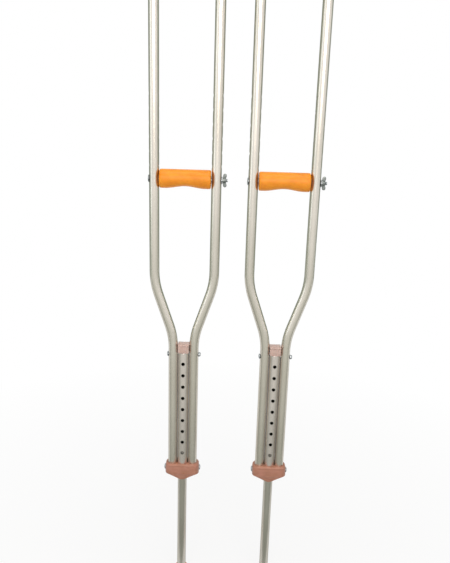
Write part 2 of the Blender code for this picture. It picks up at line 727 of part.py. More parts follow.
def pad_ring(x, squeeze):
    """One ring of the pad's cage: crowned on top, drawn in along its sides, dipped mid-length."""
    share = min(1.0, abs(x) / PAD_HALF_LENGTH)
    crown = OVERALL_HEIGHT + 0.0049 - PAD_DIP * (1 - share ** 2)
    width = PAD_HALF_WIDTH + 0.0013
    half = [
        (0.0, PAD_BOTTOM_Z),
        (width * 0.70, PAD_BOTTOM_Z),
        (width * 0.86, PAD_BOTTOM_Z + 0.008),
        (width * 0.86, PAD_BOTTOM_Z + 0.022),
        (width * 1.04, crown - 0.016),
        (width * 0.72, crown - 0.0015),
        (0.0, crown),
    ]
    ring = half + [(-y, z) for y, z in reversed(half[1:-1])]
    middle = PAD_BOTTOM_Z + 0.030
    return [(x, y * squeeze, middle + (z - middle) * squeeze) for y, z in ring]


def make_pad(crutch, frame):
    """A moulded cushion that slips over the saddle from above."""
    name = f"{crutch}_underarm_pad"
    reach = PAD_HALF_LENGTH
    half = [(0.028, 1.0), (0.054, 1.0), (0.073, 1.0), (reach - 0.002, 0.90), (reach, 0.62)]
    stations = [(-x, squeeze) for x, squeeze in reversed(half)] + [(0.0, 1.0)] + half
    cage = loft_mesh(name, [pad_ring(x, squeeze) for x, squeeze in stations])
    pad = add_object(name, cage, frame, material="amber rubber", crease=180)
    smooth = pad.modifiers.new("smooth", "SUBSURF")
    smooth.levels = 1
    smooth.render_levels = 1

    gap = PAD_CAVITY_GAP
    bottom, top = PAD_BOTTOM_Z - 0.01, SADDLE_TOP_Z + gap
    low = (-SADDLE_HALF_LENGTH - gap, -SADDLE_HALF_DEPTH - gap, bottom)
    high = (SADDLE_HALF_LENGTH + gap, SADDLE_HALF_DEPTH + gap, top)
    boolean(pad, add_object(name + "_slot", box_mesh(name + "_slot", low, high), frame))
    for side, side_name in SIDES:
        radius = clear_radius(SOCKET_RADIUS + gap / 2)
        bore(pad, "socket_" + side_name, radius, bottom, top, side * BOW_HALF_SPACING)


def make_tip(crutch, leg_axis):
    """A rubber foot on the extension tube, with a washer under the tube's end."""
    foot, neck = TIP_FOOT_RADIUS, TIP_NECK_RADIUS
    inside = clear_radius(EXTENSION_RADIUS)
    profile = [
        (neck - 0.0006, TIP_HEIGHT),
        (neck, TIP_HEIGHT - 0.0008),
        (neck, TIP_HEIGHT - 0.006),
        (neck + 0.0004, 0.023),
        (neck + 0.0020, 0.016),
        (foot - 0.0012, 0.010),
        (foot, 0.006),
        (foot, 0.0022),
        (foot - 0.0022, 0),
        (0.0135, 0),
        (0.0125, 0.0014),
        (0.0100, 0.0014),
        (0.0090, 0),
        (0, 0),
        (0, TIP_FLOOR_THICKNESS),
        (inside, TIP_FLOOR_THICKNESS),
        (inside, TIP_HEIGHT),
    ]
    ground = (0, 0, -BUTTON_Z)
    turned(f"{crutch}_tip", profile, leg_axis, ground, material="amber rubber", closed=True, sides=TIP_SIDES)

    low = TIP_FLOOR_THICKNESS + CLEARANCE
    high = low + TIP_WASHER_THICKNESS
    outer, inner = TIP_WASHER_RADIUS, 0.003
    profile = [(outer, high), (outer, low), (inner, low), (inner, high)]
    name = f"{crutch}_tip_washer"
    turned(name, profile, leg_axis, ground, material="zinc-plated steel", closed=True, sides=16)


def add_empty(name, location, parent=None):
    mark = bpy.data.objects.new(name, None)
    mark.empty_display_size = 0.03
    bpy.data.collections[PART_COLLECTION].objects.link(mark)
    mark.location = location
    mark.parent = parent
    return mark


def make_crutch(crutch, x):
    """One crutch. The leg axis is at the snap button, the grip axis on the grip bolt."""
    frame = add_empty(f"{crutch}_crutch", (x, 0, 0))
    leg_axis = add_empty(f"{crutch}_leg_axis", (0, 0, BUTTON_Z), frame)
    grip_axis = add_empty(f"{crutch}_grip_axis", (0, 0, GRIP_Z), frame)
    bpy.context.view_layer.update()
    for side, side_name in SIDES:
        make_bow(crutch, frame, side, side_name)
        make_collar_rivet(crutch, frame, side, side_name)
        make_saddle_screw(crutch, frame, side, side_name)
    make_leg_tube(crutch, frame)
    make_spacer_block(crutch, frame)
    make_cross_bolt(crutch, frame)
    make_collar(crutch, frame)
    make_saddle(crutch, frame)
    make_pad(crutch, frame)
    make_extension_tube(crutch, leg_axis)
    make_snap_button(crutch, leg_axis)
    make_button_spring(crutch, leg_axis)
    make_tip(crutch, leg_axis)
    make_grip(crutch, grip_axis)
    make_grip_core(crutch, grip_axis)
    make_grip_bolt(crutch, grip_axis)
    make_wing_nut(crutch, grip_axis)


empty_the_scene()
for collection_name in (PART_COLLECTION, CUTTER_COLLECTION):
    new_collection(collection_name)
make_crutch("left", -CRUTCH_SPACING / 2)
make_crutch("right", CRUTCH_SPACING / 2)
bpy.context.view_layer.update()
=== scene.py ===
import math

import bmesh
import bpy
from mathutils import Matrix, Vector


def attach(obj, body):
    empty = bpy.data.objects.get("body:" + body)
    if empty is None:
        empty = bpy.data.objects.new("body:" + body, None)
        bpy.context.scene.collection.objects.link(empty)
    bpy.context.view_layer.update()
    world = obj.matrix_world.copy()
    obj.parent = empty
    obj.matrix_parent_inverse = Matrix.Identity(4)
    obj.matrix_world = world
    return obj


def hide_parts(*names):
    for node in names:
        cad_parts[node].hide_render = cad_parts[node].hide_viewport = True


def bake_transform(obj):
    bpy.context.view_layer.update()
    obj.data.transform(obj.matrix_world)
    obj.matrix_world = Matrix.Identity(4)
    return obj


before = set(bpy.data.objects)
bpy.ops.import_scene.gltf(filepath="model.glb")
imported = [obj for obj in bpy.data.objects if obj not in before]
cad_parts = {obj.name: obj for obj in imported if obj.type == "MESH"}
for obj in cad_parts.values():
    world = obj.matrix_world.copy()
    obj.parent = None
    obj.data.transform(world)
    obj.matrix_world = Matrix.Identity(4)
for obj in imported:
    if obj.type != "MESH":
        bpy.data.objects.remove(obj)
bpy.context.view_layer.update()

# A pair of adult underarm crutches in aluminium tube. Every piece is made once, with the
# crutch's axis on Z, and then placed on both crutches. Metres, +Z up, front towards -Y.

MM = 0.001
INCH = 25.4 * MM
CRUTCHES = {"left": -93.5 * MM, "right": 93.5 * MM}
SIDES = {"bolt_side": -1, "nut_side": 1}

# Air between touching pieces, and round a pin in its hole
CLEARANCE = 0.3 * MM
PIN_SLACK = 0.3 * MM

# Tubes
BOW_RADIUS = 0.375 * INCH
BOW_WALL = 1.2 * MM
LEG_RADIUS = 0.4375 * INCH
LEG_WALL = 1.1 * MM
EXTENSION_WALL = 1.2 * MM
TUBE_EDGE = 0.25 * MM
BOW_UPPER_X = 58.85 * MM
BOW_LOWER_X = LEG_RADIUS + BOW_RADIUS + CLEARANCE
BOW_BOTTOM_Z = 0.2895
BOW_LOWER_CORNER_Z = 0.596
BOW_UPPER_CORNER_Z = 0.708
BOW_TOP_Z = 1.300
BOW_BEND_RADIUS = 0.150
LEG_BOTTOM_Z = 0.279
LEG_TOP_Z = 0.563
EXTENSION_BOTTOM_Z = 0.0186
EXTENSION_TOP_Z = 0.3468

# Rows of holes, one inch apart
BUTTON_HOLES = [0.540 - i * INCH for i in range(9)]
BUTTON_HOLE_RADIUS = 3.7 * MM
BUTTON_Z = BUTTON_HOLES[-1]
GRIP_Z = 0.9113
GRIP_HOLES = [GRIP_Z + i * INCH for i in range(7)]
GRIP_HOLE_RADIUS = 3.6 * MM

# Fasteners' heights and radii
CROSS_BOLT_Z = 0.5585
CROSS_BOLT_RADIUS = 2.5 * MM
RIVET_Z = 0.297
RIVET_RADIUS = 2.0 * MM
SCREW_Z = 1.272
SCREW_RADIUS = 2.0 * MM

# Saddle and pad
SADDLE_HALF_LENGTH = 71.5 * MM
SADDLE_HALF_DEPTH = 10.5 * MM
SADDLE_TOP_Z = 1.311
SOCKET_RADIUS = 12.5 * MM
OVERALL_HEIGHT = 53 * INCH

# Collar
COLLAR_HALF_WIDTH = 35.9 * MM

# Sides of a round mesh and steps of a bend, and how many degrees make an edge sharp
TUBE_SIDES = 48
PIN_SIDES = 32
LARGE_SIDES = 64
BEND_STEPS = 12
SHARP_ANGLE = 35

# Turns that lay a piece's own Z along an axis
TURNS = {
    "X": Matrix.Rotation(math.pi / 2, 4, "Y"),
    "-X": Matrix.Rotation(-math.pi / 2, 4, "Y"),
    "-Y": Matrix.Rotation(math.pi / 2, 4, "X"),
    "Z": Matrix.Identity(4),
}


# Mesh tools

def new_object(name, data):
    """An object at the origin, in the scene."""
    thing = bpy.data.objects.new(name, data)
    bpy.context.scene.collection.objects.link(thing)
    return thing


def ring(shape, radius, place=None, sides=TUBE_SIDES):
    """A circle of points round the origin, or at a place."""
    place = place or Matrix.Identity(4)
    return bmesh.ops.create_circle(shape, radius=radius, segments=sides, matrix=place)["verts"]


def edges_of(points):
    """The edges between points, each once and in the points' order."""
    chosen = set(points)
    found = [edge for point in points for edge in point.link_edges if edge.other_vert(point) in chosen]
    return list(dict.fromkeys(found))


def skin(shape, rings, closed=False):
    """Bridge rings in turn, then cap the skin or close it on itself. Neighbours' centres are apart."""
    pairs = list(zip(rings, rings[1:]))
    if closed:
        pairs.append((rings[-1], rings[0]))
    outlines = {id(points): edges_of(points) for points in rings}
    for near, far in pairs:
        bmesh.ops.bridge_loops(shape, edges=outlines[id(near)] + outlines[id(far)])
    if not closed:
        bmesh.ops.edgeloop_fill(shape, edges=outlines[id(rings[0])])
        bmesh.ops.edgeloop_fill(shape, edges=outlines[id(rings[-1])])
    bmesh.ops.recalc_face_normals(shape, faces=shape.faces)


def eased(profile, steps=4):
    """Round the corners of a profile that give an easing after their radius and height."""
    points = []
    for i, (radius, height, *easing) in enumerate(profile):
        here = Vector((radius, height))
        if not easing:
            points.append(tuple(here))
            continue
        before = Vector(profile[i - 1][:2])
        after = Vector(profile[(i + 1) % len(profile)][:2])
        start = here + (before - here).normalized() * easing[0]
        end = here + (after - here).normalized() * easing[0]
        for k in range(steps + 1):
            share = k / steps
            points.append(tuple(start.lerp(here, share).lerp(here.lerp(end, share), share)))
    return points


def turned(profile, sides=PIN_SIDES, closed=False):
    """A piece turned round Z from (radius, height) points. A point on the axis is a pole.

    Its faces are laid ring by ring, because spin lays them in another order at each run.
    """
    shape = bmesh.new()
    rings = []
    for radius, height in profile:
        turns = [2 * math.pi * i / sides for i in range(sides if radius else 1)]
        rings.append([
            shape.verts.new((radius * math.cos(turn), radius * math.sin(turn), height)) for turn in turns
        ])
    pairs = list(zip(rings, rings[1:]))
    if closed:
        pairs.append((rings[-1], rings[0]))
    for near, far in pairs:
        for i in range(sides):
            k = i + 1
            corners = (near[i % len(near)], near[k % len(near)], far[k % len(far)], far[i % len(far)])
            shape.faces.new(dict.fromkeys(corners))
    bmesh.ops.recalc_face_normals(shape, faces=shape.faces)
    return shape


def round_edges(shape, edges, width, segments):
    """Bevel edges to a round."""
    bmesh.ops.bevel(
        shape, geom=edges, offset=width, offset_type="OFFSET", segments=segments,
        profile=0.5, affect="EDGES", material=-1, clamp_overlap=True,
    )


def soften(shape, width, segments=3):
    """Round a closed shape's sharp edges."""
    sharp = [edge for edge in shape.edges if edge.calc_face_angle() > math.radians(SHARP_ANGLE)]
    round_edges(shape, sharp, width, segments)


def box(low, high, width=0.0, segments=3):
    """A box between two corners, with its edges rounded."""
    shape = bmesh.new()
    size = [b - a for a, b in zip(low, high)]
    middle = [(a + b) / 2 for a, b in zip(low, high)]
    bmesh.ops.create_cube(shape, size=1.0, matrix=Matrix.Translation(middle) @ Matrix.Diagonal((*size, 1)))
    if width:
        soften(shape, width, segments)
    return shape


def rods(radius, length, places, axis="Z", sides=PIN_SIDES):
    """Equal cylinders along an axis, centred on their places."""
    shape = bmesh.new()
    for place in places:
        bmesh.ops.create_cone(
            shape, cap_ends=True, segments=sides, radius1=radius, radius2=radius, depth=length,
            matrix=Matrix.Translation(place) @ TURNS[axis],
        )
    return shape


def to_mesh(shape):
    """A mesh of a bmesh, which is freed."""
    mesh = bpy.data.meshes.new("piece")
    shape.to_mesh(mesh)
    shape.free()
    return mesh


def laid(shape, axis, place):
    """Turn a piece's own Z to an axis and move it to its place."""
    bmesh.ops.transform(shape, matrix=Matrix.Translation(place) @ TURNS[axis], verts=shape.verts)
    return shape


def finished_mesh(thing):
    """An object's mesh with its modifiers applied. The object is removed."""
    bpy.context.view_layer.update()
    mesh = bpy.data.meshes.new_from_object(thing.evaluated_get(bpy.context.evaluated_depsgraph_get()))
    bpy.data.objects.remove(thing, do_unlink=True)
    return mesh


def carved(shape, *steps):
    """Join or cut shapes in turn: each step is ("UNION" or "DIFFERENCE", shape)."""
    body = new_object("body", to_mesh(shape))
    tools = []
    for operation, tool_shape in steps:
        tool = new_object("tool", to_mesh(tool_shape))
        tools.append(tool)
        step = body.modifiers.new(operation, "BOOLEAN")
        step.operation = operation
        step.solver = "EXACT"
        step.object = tool
    mesh = finished_mesh(body)
    for tool in tools:
        bpy.data.objects.remove(tool, do_unlink=True)
    return mesh


def shade(mesh, angle=SHARP_ANGLE):
    """Smooth shading, with sharp edges kept."""
    mesh.shade_smooth()
    mesh.set_sharp_from_angle(angle=math.radians(angle))


def shade_round(mesh, x, low, high):
    """Give a straight tube's walls the normals of a true cylinder, and mark its inner wall for the painted
    shade.
    """
    # A wall's normal is nearly level and radial; past these it is a tube's end or a hole's edge
    most_upright, least_radial = 0.2, 0.97
    inside = mesh.attributes.get("inside") or mesh.attributes.new("inside", "FLOAT", "FACE")
    normals = [Vector(corner.vector) for corner in mesh.corner_normals]
    for face in mesh.polygons:
        points = [mesh.vertices[i].co for i in face.vertices]
        if abs(face.normal.z) > most_upright or any(not low <= point.z <= high for point in points):
            continue
        for corner, point in zip(face.loop_indices, points):
            out = Vector((point.x - x, point.y, 0)).normalized()
            facing = out.dot(face.normal)
            if abs(facing) > least_radial:
                normals[corner] = out if facing > 0 else -out
                inside.data[face.index].value = float(facing < 0)
    mesh.normals_split_custom_set(normals)


# Shader tools

# Noise keeps to this span for the most part
NOISE_LOW = 0.3
NOISE_HIGH = 0.7


def linear(hex_colour):
    """An sRGB hex colour as linear red, green, blue and alpha."""
    parts = [int(hex_colour[i:i + 2], 16) / 255 for i in (1, 3, 5)]
    return [part / 12.92 if part <= 0.04045 else ((part + 0.055) / 1.055) ** 2.4 for part in parts] + [1.0]


def plug(tree, node, inputs):
    """Set a node's inputs: each is a value, or another node's output to link."""
    for name, value in inputs.items():
        if isinstance(value, bpy.types.NodeSocket):
            tree.links.new(value, node.inputs[name])
        else:
            node.inputs[name].default_value = value


def add(tree, kind, inputs=None, **settings):
    """Add a shader node with its settings, and plug in its inputs."""
    node = tree.nodes.new("ShaderNode" + kind)
    for name, value in settings.items():
        setattr(node, name, value)
    plug(tree, node, inputs or {})
    return node


def new_material(name):
    """A material, with its tree and its Principled shader."""
    material = bpy.data.materials.new(name)
    material.use_nodes = True
    tree = material.node_tree
    return material, tree, tree.nodes["Principled BSDF"]


def grain(tree, millimetres, detail=3.0, roughness=0.5, stretch=(1, 1, 1)):
    """Noise whose features are that wide, longer where an axis is stretched."""
    place = add(tree, "TexCoord").outputs["Object"]
    scale = [1 / (millimetres * MM * longer) for longer in stretch]
    mapped = add(tree, "Mapping", {"Vector": place, "Scale": scale})
    return add(tree, "TexNoise", {
        "Vector": mapped.outputs["Vector"], "Scale": 1.0, "Detail": detail, "Roughness": roughness,
    }).outputs["Fac"]


def tinted(tree, tone, colour, value, low=NOISE_LOW, high=NOISE_HIGH, most=1.0):
    """Lay a colour over a tone, the more the nearer a value is to its high, up to a most."""
    share = add(tree, "MapRange", {"Value": value, "From Min": low, "From Max": high, "To Max": most})
    # Of a Mix node's sockets, 0 is the share, 6 and 7 take colours and 2 gives one
    mix = add(tree, "Mix", {0: share.outputs["Result"], 6: tone, 7: linear(colour)}, data_type="RGBA")
    return mix.outputs[2]


def seen(tree, *rays):
    """One to these kinds of ray, and nothing to the rest."""
    path = add(tree, "LightPath")
    found = path.outputs[rays[0]]
    for ray in rays[1:]:
        found = add(tree, "Math", {0: found, 1: path.outputs[ray]}, operation="MAXIMUM").outputs["Value"]
    return found


# Materials

def drawn_aluminium(name, pale, dull, roughness):
    """Drawn tube, clear anodised: satin, with fine lines along its length and a few rub marks.

    The inner wall is painted dark, as painted shade, so the holes look black.
    """
    material, tree, shader = new_material(name)
    # Die lines are about 0.1 mm apart, and are drawn 0.9 mm apart so that they show
    lines = grain(tree, 0.9, detail=4.0, stretch=(1, 1, 90))
    clouds = grain(tree, 45, stretch=(1, 1, 3))
    waves = grain(tree, 14, stretch=(1, 1, 4))
    rubs = grain(tree, 2.2, detail=5.0, roughness=0.65, stretch=(1, 1, 28))
    rub_low, rub_high = 0.60, 0.74
    inside = add(tree, "Attribute", attribute_name="inside").outputs["Fac"]
    tone = tinted(tree, linear(pale), dull, clouds)
    tone = tinted(tree, tone, "#9FA19B", lines, most=0.30)
    tone = tinted(tree, tone, "#F4F3EE", rubs, rub_low, rub_high, 0.22)
    # Painted shade: the marked inner wall is darkened, so the holes look black
    tone = tinted(tree, tone, "#3B3A35", inside, 0.0, 1.0)
    satin = add(tree, "MapRange", {
        "Value": lines, "From Min": NOISE_LOW, "From Max": NOISE_HIGH,
        "To Min": roughness - 0.04, "To Max": roughness + 0.07,
    })
    rubbed = add(tree, "MapRange", {"Value": rubs, "From Min": rub_low, "From Max": rub_high, "To Max": 0.10})
    gloss = add(tree, "Math", {0: satin.outputs["Result"], 1: rubbed.outputs["Result"]}, operation="ADD")
    fine = add(tree, "Bump", {"Height": lines, "Distance": 0.012 * MM, "Strength": 0.6})
    bumps = add(tree, "Bump", {
        "Height": waves, "Distance": 0.03 * MM, "Strength": 0.3, "Normal": fine.outputs["Normal"],
    })
    plug(tree, shader, {
        "Base Color": tone, "Roughness": gloss.outputs["Value"], "Normal": bumps.outputs["Normal"],
        "Metallic": 1.0, "Specular Tint": linear("#B9BCB6"),
    })
    return material


def amber_rubber():
    """Latex rubber, moulded and waxy: light goes a little way in, and handling dulls it."""
    material, tree, shader = new_material("moulded amber latex rubber")
    clouds = grain(tree, 22, detail=4.0)
    # The mould leaves a finer pebble, drawn 0.9 mm wide so that it shows
    pebble = grain(tree, 0.9, detail=2.0)
    waves = grain(tree, 9)
    wear = grain(tree, 7, detail=6.0, roughness=0.6)
    wear_low, wear_high = 0.56, 0.78
    tone = tinted(tree, linear("#F1981C"), "#E2860E", clouds)
    tone = tinted(tree, tone, "#B9641A", wear, wear_low, wear_high, 0.38)
    tone = tinted(tree, tone, "#FFB344", pebble, most=0.14)
    waxy = add(tree, "MapRange", {
        "Value": pebble, "From Min": NOISE_LOW, "From Max": NOISE_HIGH, "To Min": 0.34, "To Max": 0.46,
    })
    worn = add(tree, "MapRange", {"Value": wear, "From Min": wear_low, "From Max": wear_high, "To Max": 0.14})
    gloss = add(tree, "Math", {0: waxy.outputs["Result"], 1: worn.outputs["Result"]}, operation="ADD")
    fine = add(tree, "Bump", {"Height": pebble, "Distance": 0.05 * MM, "Strength": 0.55})
    bumps = add(tree, "Bump", {
        "Height": waves, "Distance": 0.10 * MM, "Strength": 0.35, "Normal": fine.outputs["Normal"],
    })
    plug(tree, shader, {
        "Base Color": tone, "Roughness": gloss.outputs["Value"], "Normal": bumps.outputs["Normal"],
        "Subsurface Weight": 0.18, "Subsurface Radius": (1.0, 0.38, 0.12), "Subsurface Scale": 3 * MM,
        "Specular IOR Level": 0.28, "Coat Weight": 0.05, "Coat Roughness": 0.3,
    })
    return material


def tan_plastic(name, pale, dark, streak):
    """Polypropylene, injection moulded: a fine matt grain with faint flow marks."""
    material, tree, shader = new_material(name)
    clouds = grain(tree, 16)
    flow = grain(tree, 3.2, detail=4.0, stretch=(4, 1, 1))
    # A spark-eroded mould leaves a grain of about 0.1 mm, drawn 0.5 mm wide so that it shows
    spark = grain(tree, 0.5, detail=2.0)
    tone = tinted(tree, linear(pale), dark, clouds)
    tone = tinted(tree, tone, streak, flow, most=0.18)
    gloss = add(tree, "MapRange", {
        "Value": spark, "From Min": NOISE_LOW, "From Max": NOISE_HIGH, "To Min": 0.30, "To Max": 0.43,
    })
    fine = add(tree, "Bump", {"Height": spark, "Distance": 0.03 * MM, "Strength": 0.5})
    bumps = add(tree, "Bump", {
        "Height": flow, "Distance": 0.03 * MM, "Strength": 0.3, "Normal": fine.outputs["Normal"],
    })
    plug(tree, shader, {
        "Base Color": tone, "Roughness": gloss.outputs["Result"], "Normal": bumps.outputs["Normal"],
        "Subsurface Weight": 0.06, "Subsurface Radius": (1.0, 0.5, 0.3), "Subsurface Scale": 1.5 * MM,
    })
    return material


def plated_steel(name, pale, dark, roughness):
    """Steel with zinc plating: grey-blue and slightly mottled."""
    material, tree, shader = new_material(name)
    mottle = grain(tree, 2.6, detail=4.0)
    fine = grain(tree, 0.4)
    gloss = add(tree, "MapRange", {
        "Value": mottle, "From Min": NOISE_LOW, "From Max": NOISE_HIGH,
        "To Min": roughness, "To Max": roughness + 0.16,
    })
    bumps = add(tree, "Bump", {"Height": fine, "Distance": 0.01 * MM, "Strength": 0.5})
    plug(tree, shader, {
        "Base Color": tinted(tree, linear(pale), dark, mottle), "Roughness": gloss.outputs["Result"],
        "Normal": bumps.outputs["Normal"], "Metallic": 1.0,
    })
    return material


def spring_steel():
    """Blued strip, rolled: dark, with fine lines."""
    material, tree, shader = new_material("blued spring steel")
    lines = grain(tree, 0.3, stretch=(1, 1, 20))
    gloss = add(tree, "MapRange", {
        "Value": lines, "From Min": NOISE_LOW, "From Max": NOISE_HIGH, "To Min": 0.25, "To Max": 0.4,
    })
    bumps = add(tree, "Bump", {"Height": lines, "Distance": 0.01 * MM, "Strength": 0.5})
    plug(tree, shader, {
        "Base Color": tinted(tree, linear("#6D7078"), "#4C4E55", lines), "Metallic": 1.0,
        "Roughness": gloss.outputs["Result"], "Normal": bumps.outputs["Normal"],
    })
    return material


FINISHES = {
    "aluminium_tube": drawn_aluminium("clear-anodised drawn aluminium", "#E8E1D7", "#DBD4C8", 0.27),
    # The leg tube's copy is lighter and pinker than the other tubes': painted light
    "leg_aluminium_painted_light": drawn_aluminium("drawn aluminium, lightened as painted light", "#F7EDE9", "#EBE0DB", 0.27),
    # The extension's copy is rougher, and darker as painted shade low on the crutch
    "extension_aluminium_painted_shade": drawn_aluminium("anodised aluminium, rougher, darkened as painted shade", "#DAD5CB", "#CCC6BB", 0.31),
    "amber_rubber": amber_rubber(),
    "tan_plastic": tan_plastic("moulded tan polypropylene", "#AF7A68", "#9F6B52", "#CE9C86"),
    # The spacer block's copy is paler than the collar's: painted light, high on the crutch
    "tan_plastic_painted_light": tan_plastic("moulded polypropylene, paled as painted light", "#C9B0A6", "#BEA197", "#DEC6B8"),
    "plated_steel": plated_steel("bright zinc-plated steel", "#B4B9BB", "#878E93", 0.26),
    "handled_steel": plated_steel("zinc-plated steel, dulled by handling", "#8E9492", "#6A706E", 0.34),
    # The snap button's copy is rougher, and darker as painted shade of the hole it sits in
    "button_steel_painted_shade": plated_steel("zinc-plated steel, rough, darkened as painted shade", "#7C7A75", "#5E5C58", 0.42),
    "spring_steel": spring_steel(),
}


def fit(node, mesh, slot, body=None, finish=None):
    """Put a finished piece on each crutch, where its CAD node is. With no body it is left unattached."""
    pieces = {}
    for crutch, x in CRUTCHES.items():
        own = mesh.copy()
        own.transform(Matrix.Translation((x, 0, 0)))
        own.materials.clear()
        own.materials.append(FINISHES[finish or slot])
        piece = new_object(f"{crutch}_{node}_finished", own)
        if body:
            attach(piece, f"{crutch}_{body}")
        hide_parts(f"{crutch}_{node}")
        pieces[crutch] = piece
    return pieces


# Tubes

def bow_stations():
    """Places along the nut side bow: x, z and lean of each, from its foot up.

    Rings stand close below and above each hole, so that cutting it disturbs only a short stretch.
    """
    slope = math.atan2(BOW_UPPER_X - BOW_LOWER_X, BOW_UPPER_CORNER_Z - BOW_LOWER_CORNER_Z)
    tangent = BOW_BEND_RADIUS * math.tan(slope / 2)
    stations = [(BOW_LOWER_X, BOW_BOTTOM_Z, 0.0)]
    stations += [(BOW_LOWER_X, z, 0.0) for z in (RIVET_Z - 4 * MM, RIVET_Z + 4 * MM)]
    stations += [(BOW_LOWER_X, z, 0.0) for z in (CROSS_BOLT_Z - 5 * MM, CROSS_BOLT_Z + 5 * MM)]
    for i in range(BEND_STEPS + 1):
        lean = slope * i / BEND_STEPS
        x = BOW_LOWER_X + BOW_BEND_RADIUS * (1 - math.cos(lean))
        z = BOW_LOWER_CORNER_Z - tangent + BOW_BEND_RADIUS * math.sin(lean)
        stations.append((x, z, lean))
    for i in range(BEND_STEPS + 1):
        lean = slope * (1 - i / BEND_STEPS)
        x = BOW_UPPER_X - BOW_BEND_RADIUS * (1 - math.cos(lean))
        z = BOW_UPPER_CORNER_Z + tangent - BOW_BEND_RADIUS * math.sin(lean)
        stations.append((x, z, lean))
    for z in GRIP_HOLES:
        stations += [(BOW_UPPER_X, z - 6 * MM, 0.0), (BOW_UPPER_X, z + 6 * MM, 0.0)]
    stations += [(BOW_UPPER_X, z, 0.0) for z in (SCREW_Z - 4 * MM, SCREW_Z + 4 * MM, BOW_TOP_Z)]
    return stations


def make_bows():
    through, one_wall, chamfer = 24 * MM, 12 * MM, 0.1 * MM
    inside = BOW_RADIUS - BOW_WALL
    for side_name, side in SIDES.items():
        stations = bow_stations()
        (foot_x, foot_z, _), (top_x, top_z, _) = stations[0], stations[-1]
        outer = [(BOW_RADIUS, *station) for station in stations]
        outer[0] = (BOW_RADIUS, foot_x, foot_z + TUBE_EDGE, 0.0)
        outer[-1] = (BOW_RADIUS, top_x, top_z - TUBE_EDGE, 0.0)
        outer.insert(0, (BOW_RADIUS - TUBE_EDGE, foot_x, foot_z, 0.0))
        outer.append((BOW_RADIUS - TUBE_EDGE, top_x, top_z, 0.0))
        inner = [(inside, *station) for station in reversed(stations)]
        inner[0] = (inside, top_x, top_z - chamfer, 0.0)
        inner[-1] = (inside, foot_x, foot_z + chamfer, 0.0)
        shape = bmesh.new()
        rings = []
        for radius, x, z, lean in outer + inner:
            place = Matrix.Translation((side * x, 0, z)) @ Matrix.Rotation(side * lean, 4, "Y")
            rings.append(ring(shape, radius, place))
        skin(shape, rings, closed=True)
        upper, lower = side * BOW_UPPER_X, side * BOW_LOWER_X
        outwards = side * BOW_RADIUS
        grip_places = [(upper, 0, z) for z in GRIP_HOLES]
        rivet_place = (lower + outwards, 0, RIVET_Z)
        screw_place = (upper + outwards, 0, SCREW_Z)
        mesh = carved(
            shape,
            ("DIFFERENCE", rods(GRIP_HOLE_RADIUS, through, grip_places, "X")),
            ("DIFFERENCE", rods(CROSS_BOLT_RADIUS + PIN_SLACK, through, [(lower, 0, CROSS_BOLT_Z)], "X")),
            ("DIFFERENCE", rods(RIVET_RADIUS + PIN_SLACK, one_wall, [rivet_place], "X")),
            ("DIFFERENCE", rods(SCREW_RADIUS + PIN_SLACK, one_wall, [screw_place], "X")),
        )
        shade(mesh)
        shade_round(mesh, upper, GRIP_HOLES[0] - 7 * MM, BOW_TOP_Z + 1 * MM)
        shade_round(mesh, lower, BOW_BOTTOM_Z - 1 * MM, CROSS_BOLT_Z + 6 * MM)
        fit(f"bow_{side_name}", mesh, "aluminium_tube", "frame")


def straight_tube(radius, wall, low, high, hole_heights):
    """A straight tube whose rings close in on the holes."""
    beside = sorted(z + step for z in hole_heights for step in (-5 * MM, 5 * MM))
    beside = [z for z in beside if low + 2 * TUBE_EDGE < z < high - 2 * TUBE_EDGE]
    inside = radius - wall
    profile = [(radius - TUBE_EDGE, low), (radius, low + TUBE_EDGE)]
    profile += [(radius, z) for z in beside]
    profile += [(radius, high - TUBE_EDGE), (radius - TUBE_EDGE, high), (inside, high)]
    profile += [(inside, z) for z in reversed(beside)]
    profile += [(inside, low)]
    return turned(profile, TUBE_SIDES, closed=True)


def make_leg_tube():
    shape = straight_tube(LEG_RADIUS, LEG_WALL, LEG_BOTTOM_Z, LEG_TOP_Z, BUTTON_HOLES + [CROSS_BOLT_Z])
    front_wall, through = 10 * MM, 40 * MM
    button_places = [(0, -LEG_RADIUS, z) for z in BUTTON_HOLES]
    mesh = carved(
        shape,
        ("DIFFERENCE", rods(BUTTON_HOLE_RADIUS, front_wall, button_places, "-Y")),
        ("DIFFERENCE", rods(CROSS_BOLT_RADIUS + PIN_SLACK, through, [(0, 0, CROSS_BOLT_Z)], "X")),
    )
    shade(mesh)
    shade_round(mesh, 0.0, LEG_BOTTOM_Z - 1 * MM, LEG_TOP_Z + 1 * MM)
    # Its finish is the lighter copy of the tubes' aluminium: painted light
    fit("leg_tube", mesh, "aluminium_tube", "frame", "leg_aluminium_painted_light")


def make_extension_tube():
    shape = straight_tube(BOW_RADIUS, EXTENSION_WALL, EXTENSION_BOTTOM_Z, EXTENSION_TOP_Z, [BUTTON_Z])
    hole = rods(BUTTON_HOLE_RADIUS, 8 * MM, [(0, -8 * MM, BUTTON_Z)], "-Y")
    mesh = carved(shape, ("DIFFERENCE", hole))
    shade(mesh)
    shade_round(mesh, 0.0, EXTENSION_BOTTOM_Z - 1 * MM, EXTENSION_TOP_Z + 1 * MM)
    # Its finish is the darker copy of the tubes' aluminium: painted shade
    fit("extension_tube", mesh, "aluminium_tube", "leg", "extension_aluminium_painted_shade")


# Snap button and spring

def make_snap_button():
    radius, flange_radius = 3.2 * MM, 4.6 * MM
    base, shoulder, top = 5.3 * MM, 6.4 * MM, 13.4 * MM
    profile = eased([
        (0, top),
        (radius, top, 1.9 * MM),
        (radius, shoulder),
        (flange_radius, shoulder, 0.2 * MM),
        (flange_radius, base, 0.2 * MM),
        (0, base),
    ], 6)
    mesh = to_mesh(laid(turned(profile), "-Y", (0, 0, BUTTON_Z)))
    shade(mesh)
    # Its finish is the darker steel: painted shade of its hole
    fit("snap_button", mesh, "plated_steel", "button", "button_steel_painted_shade")


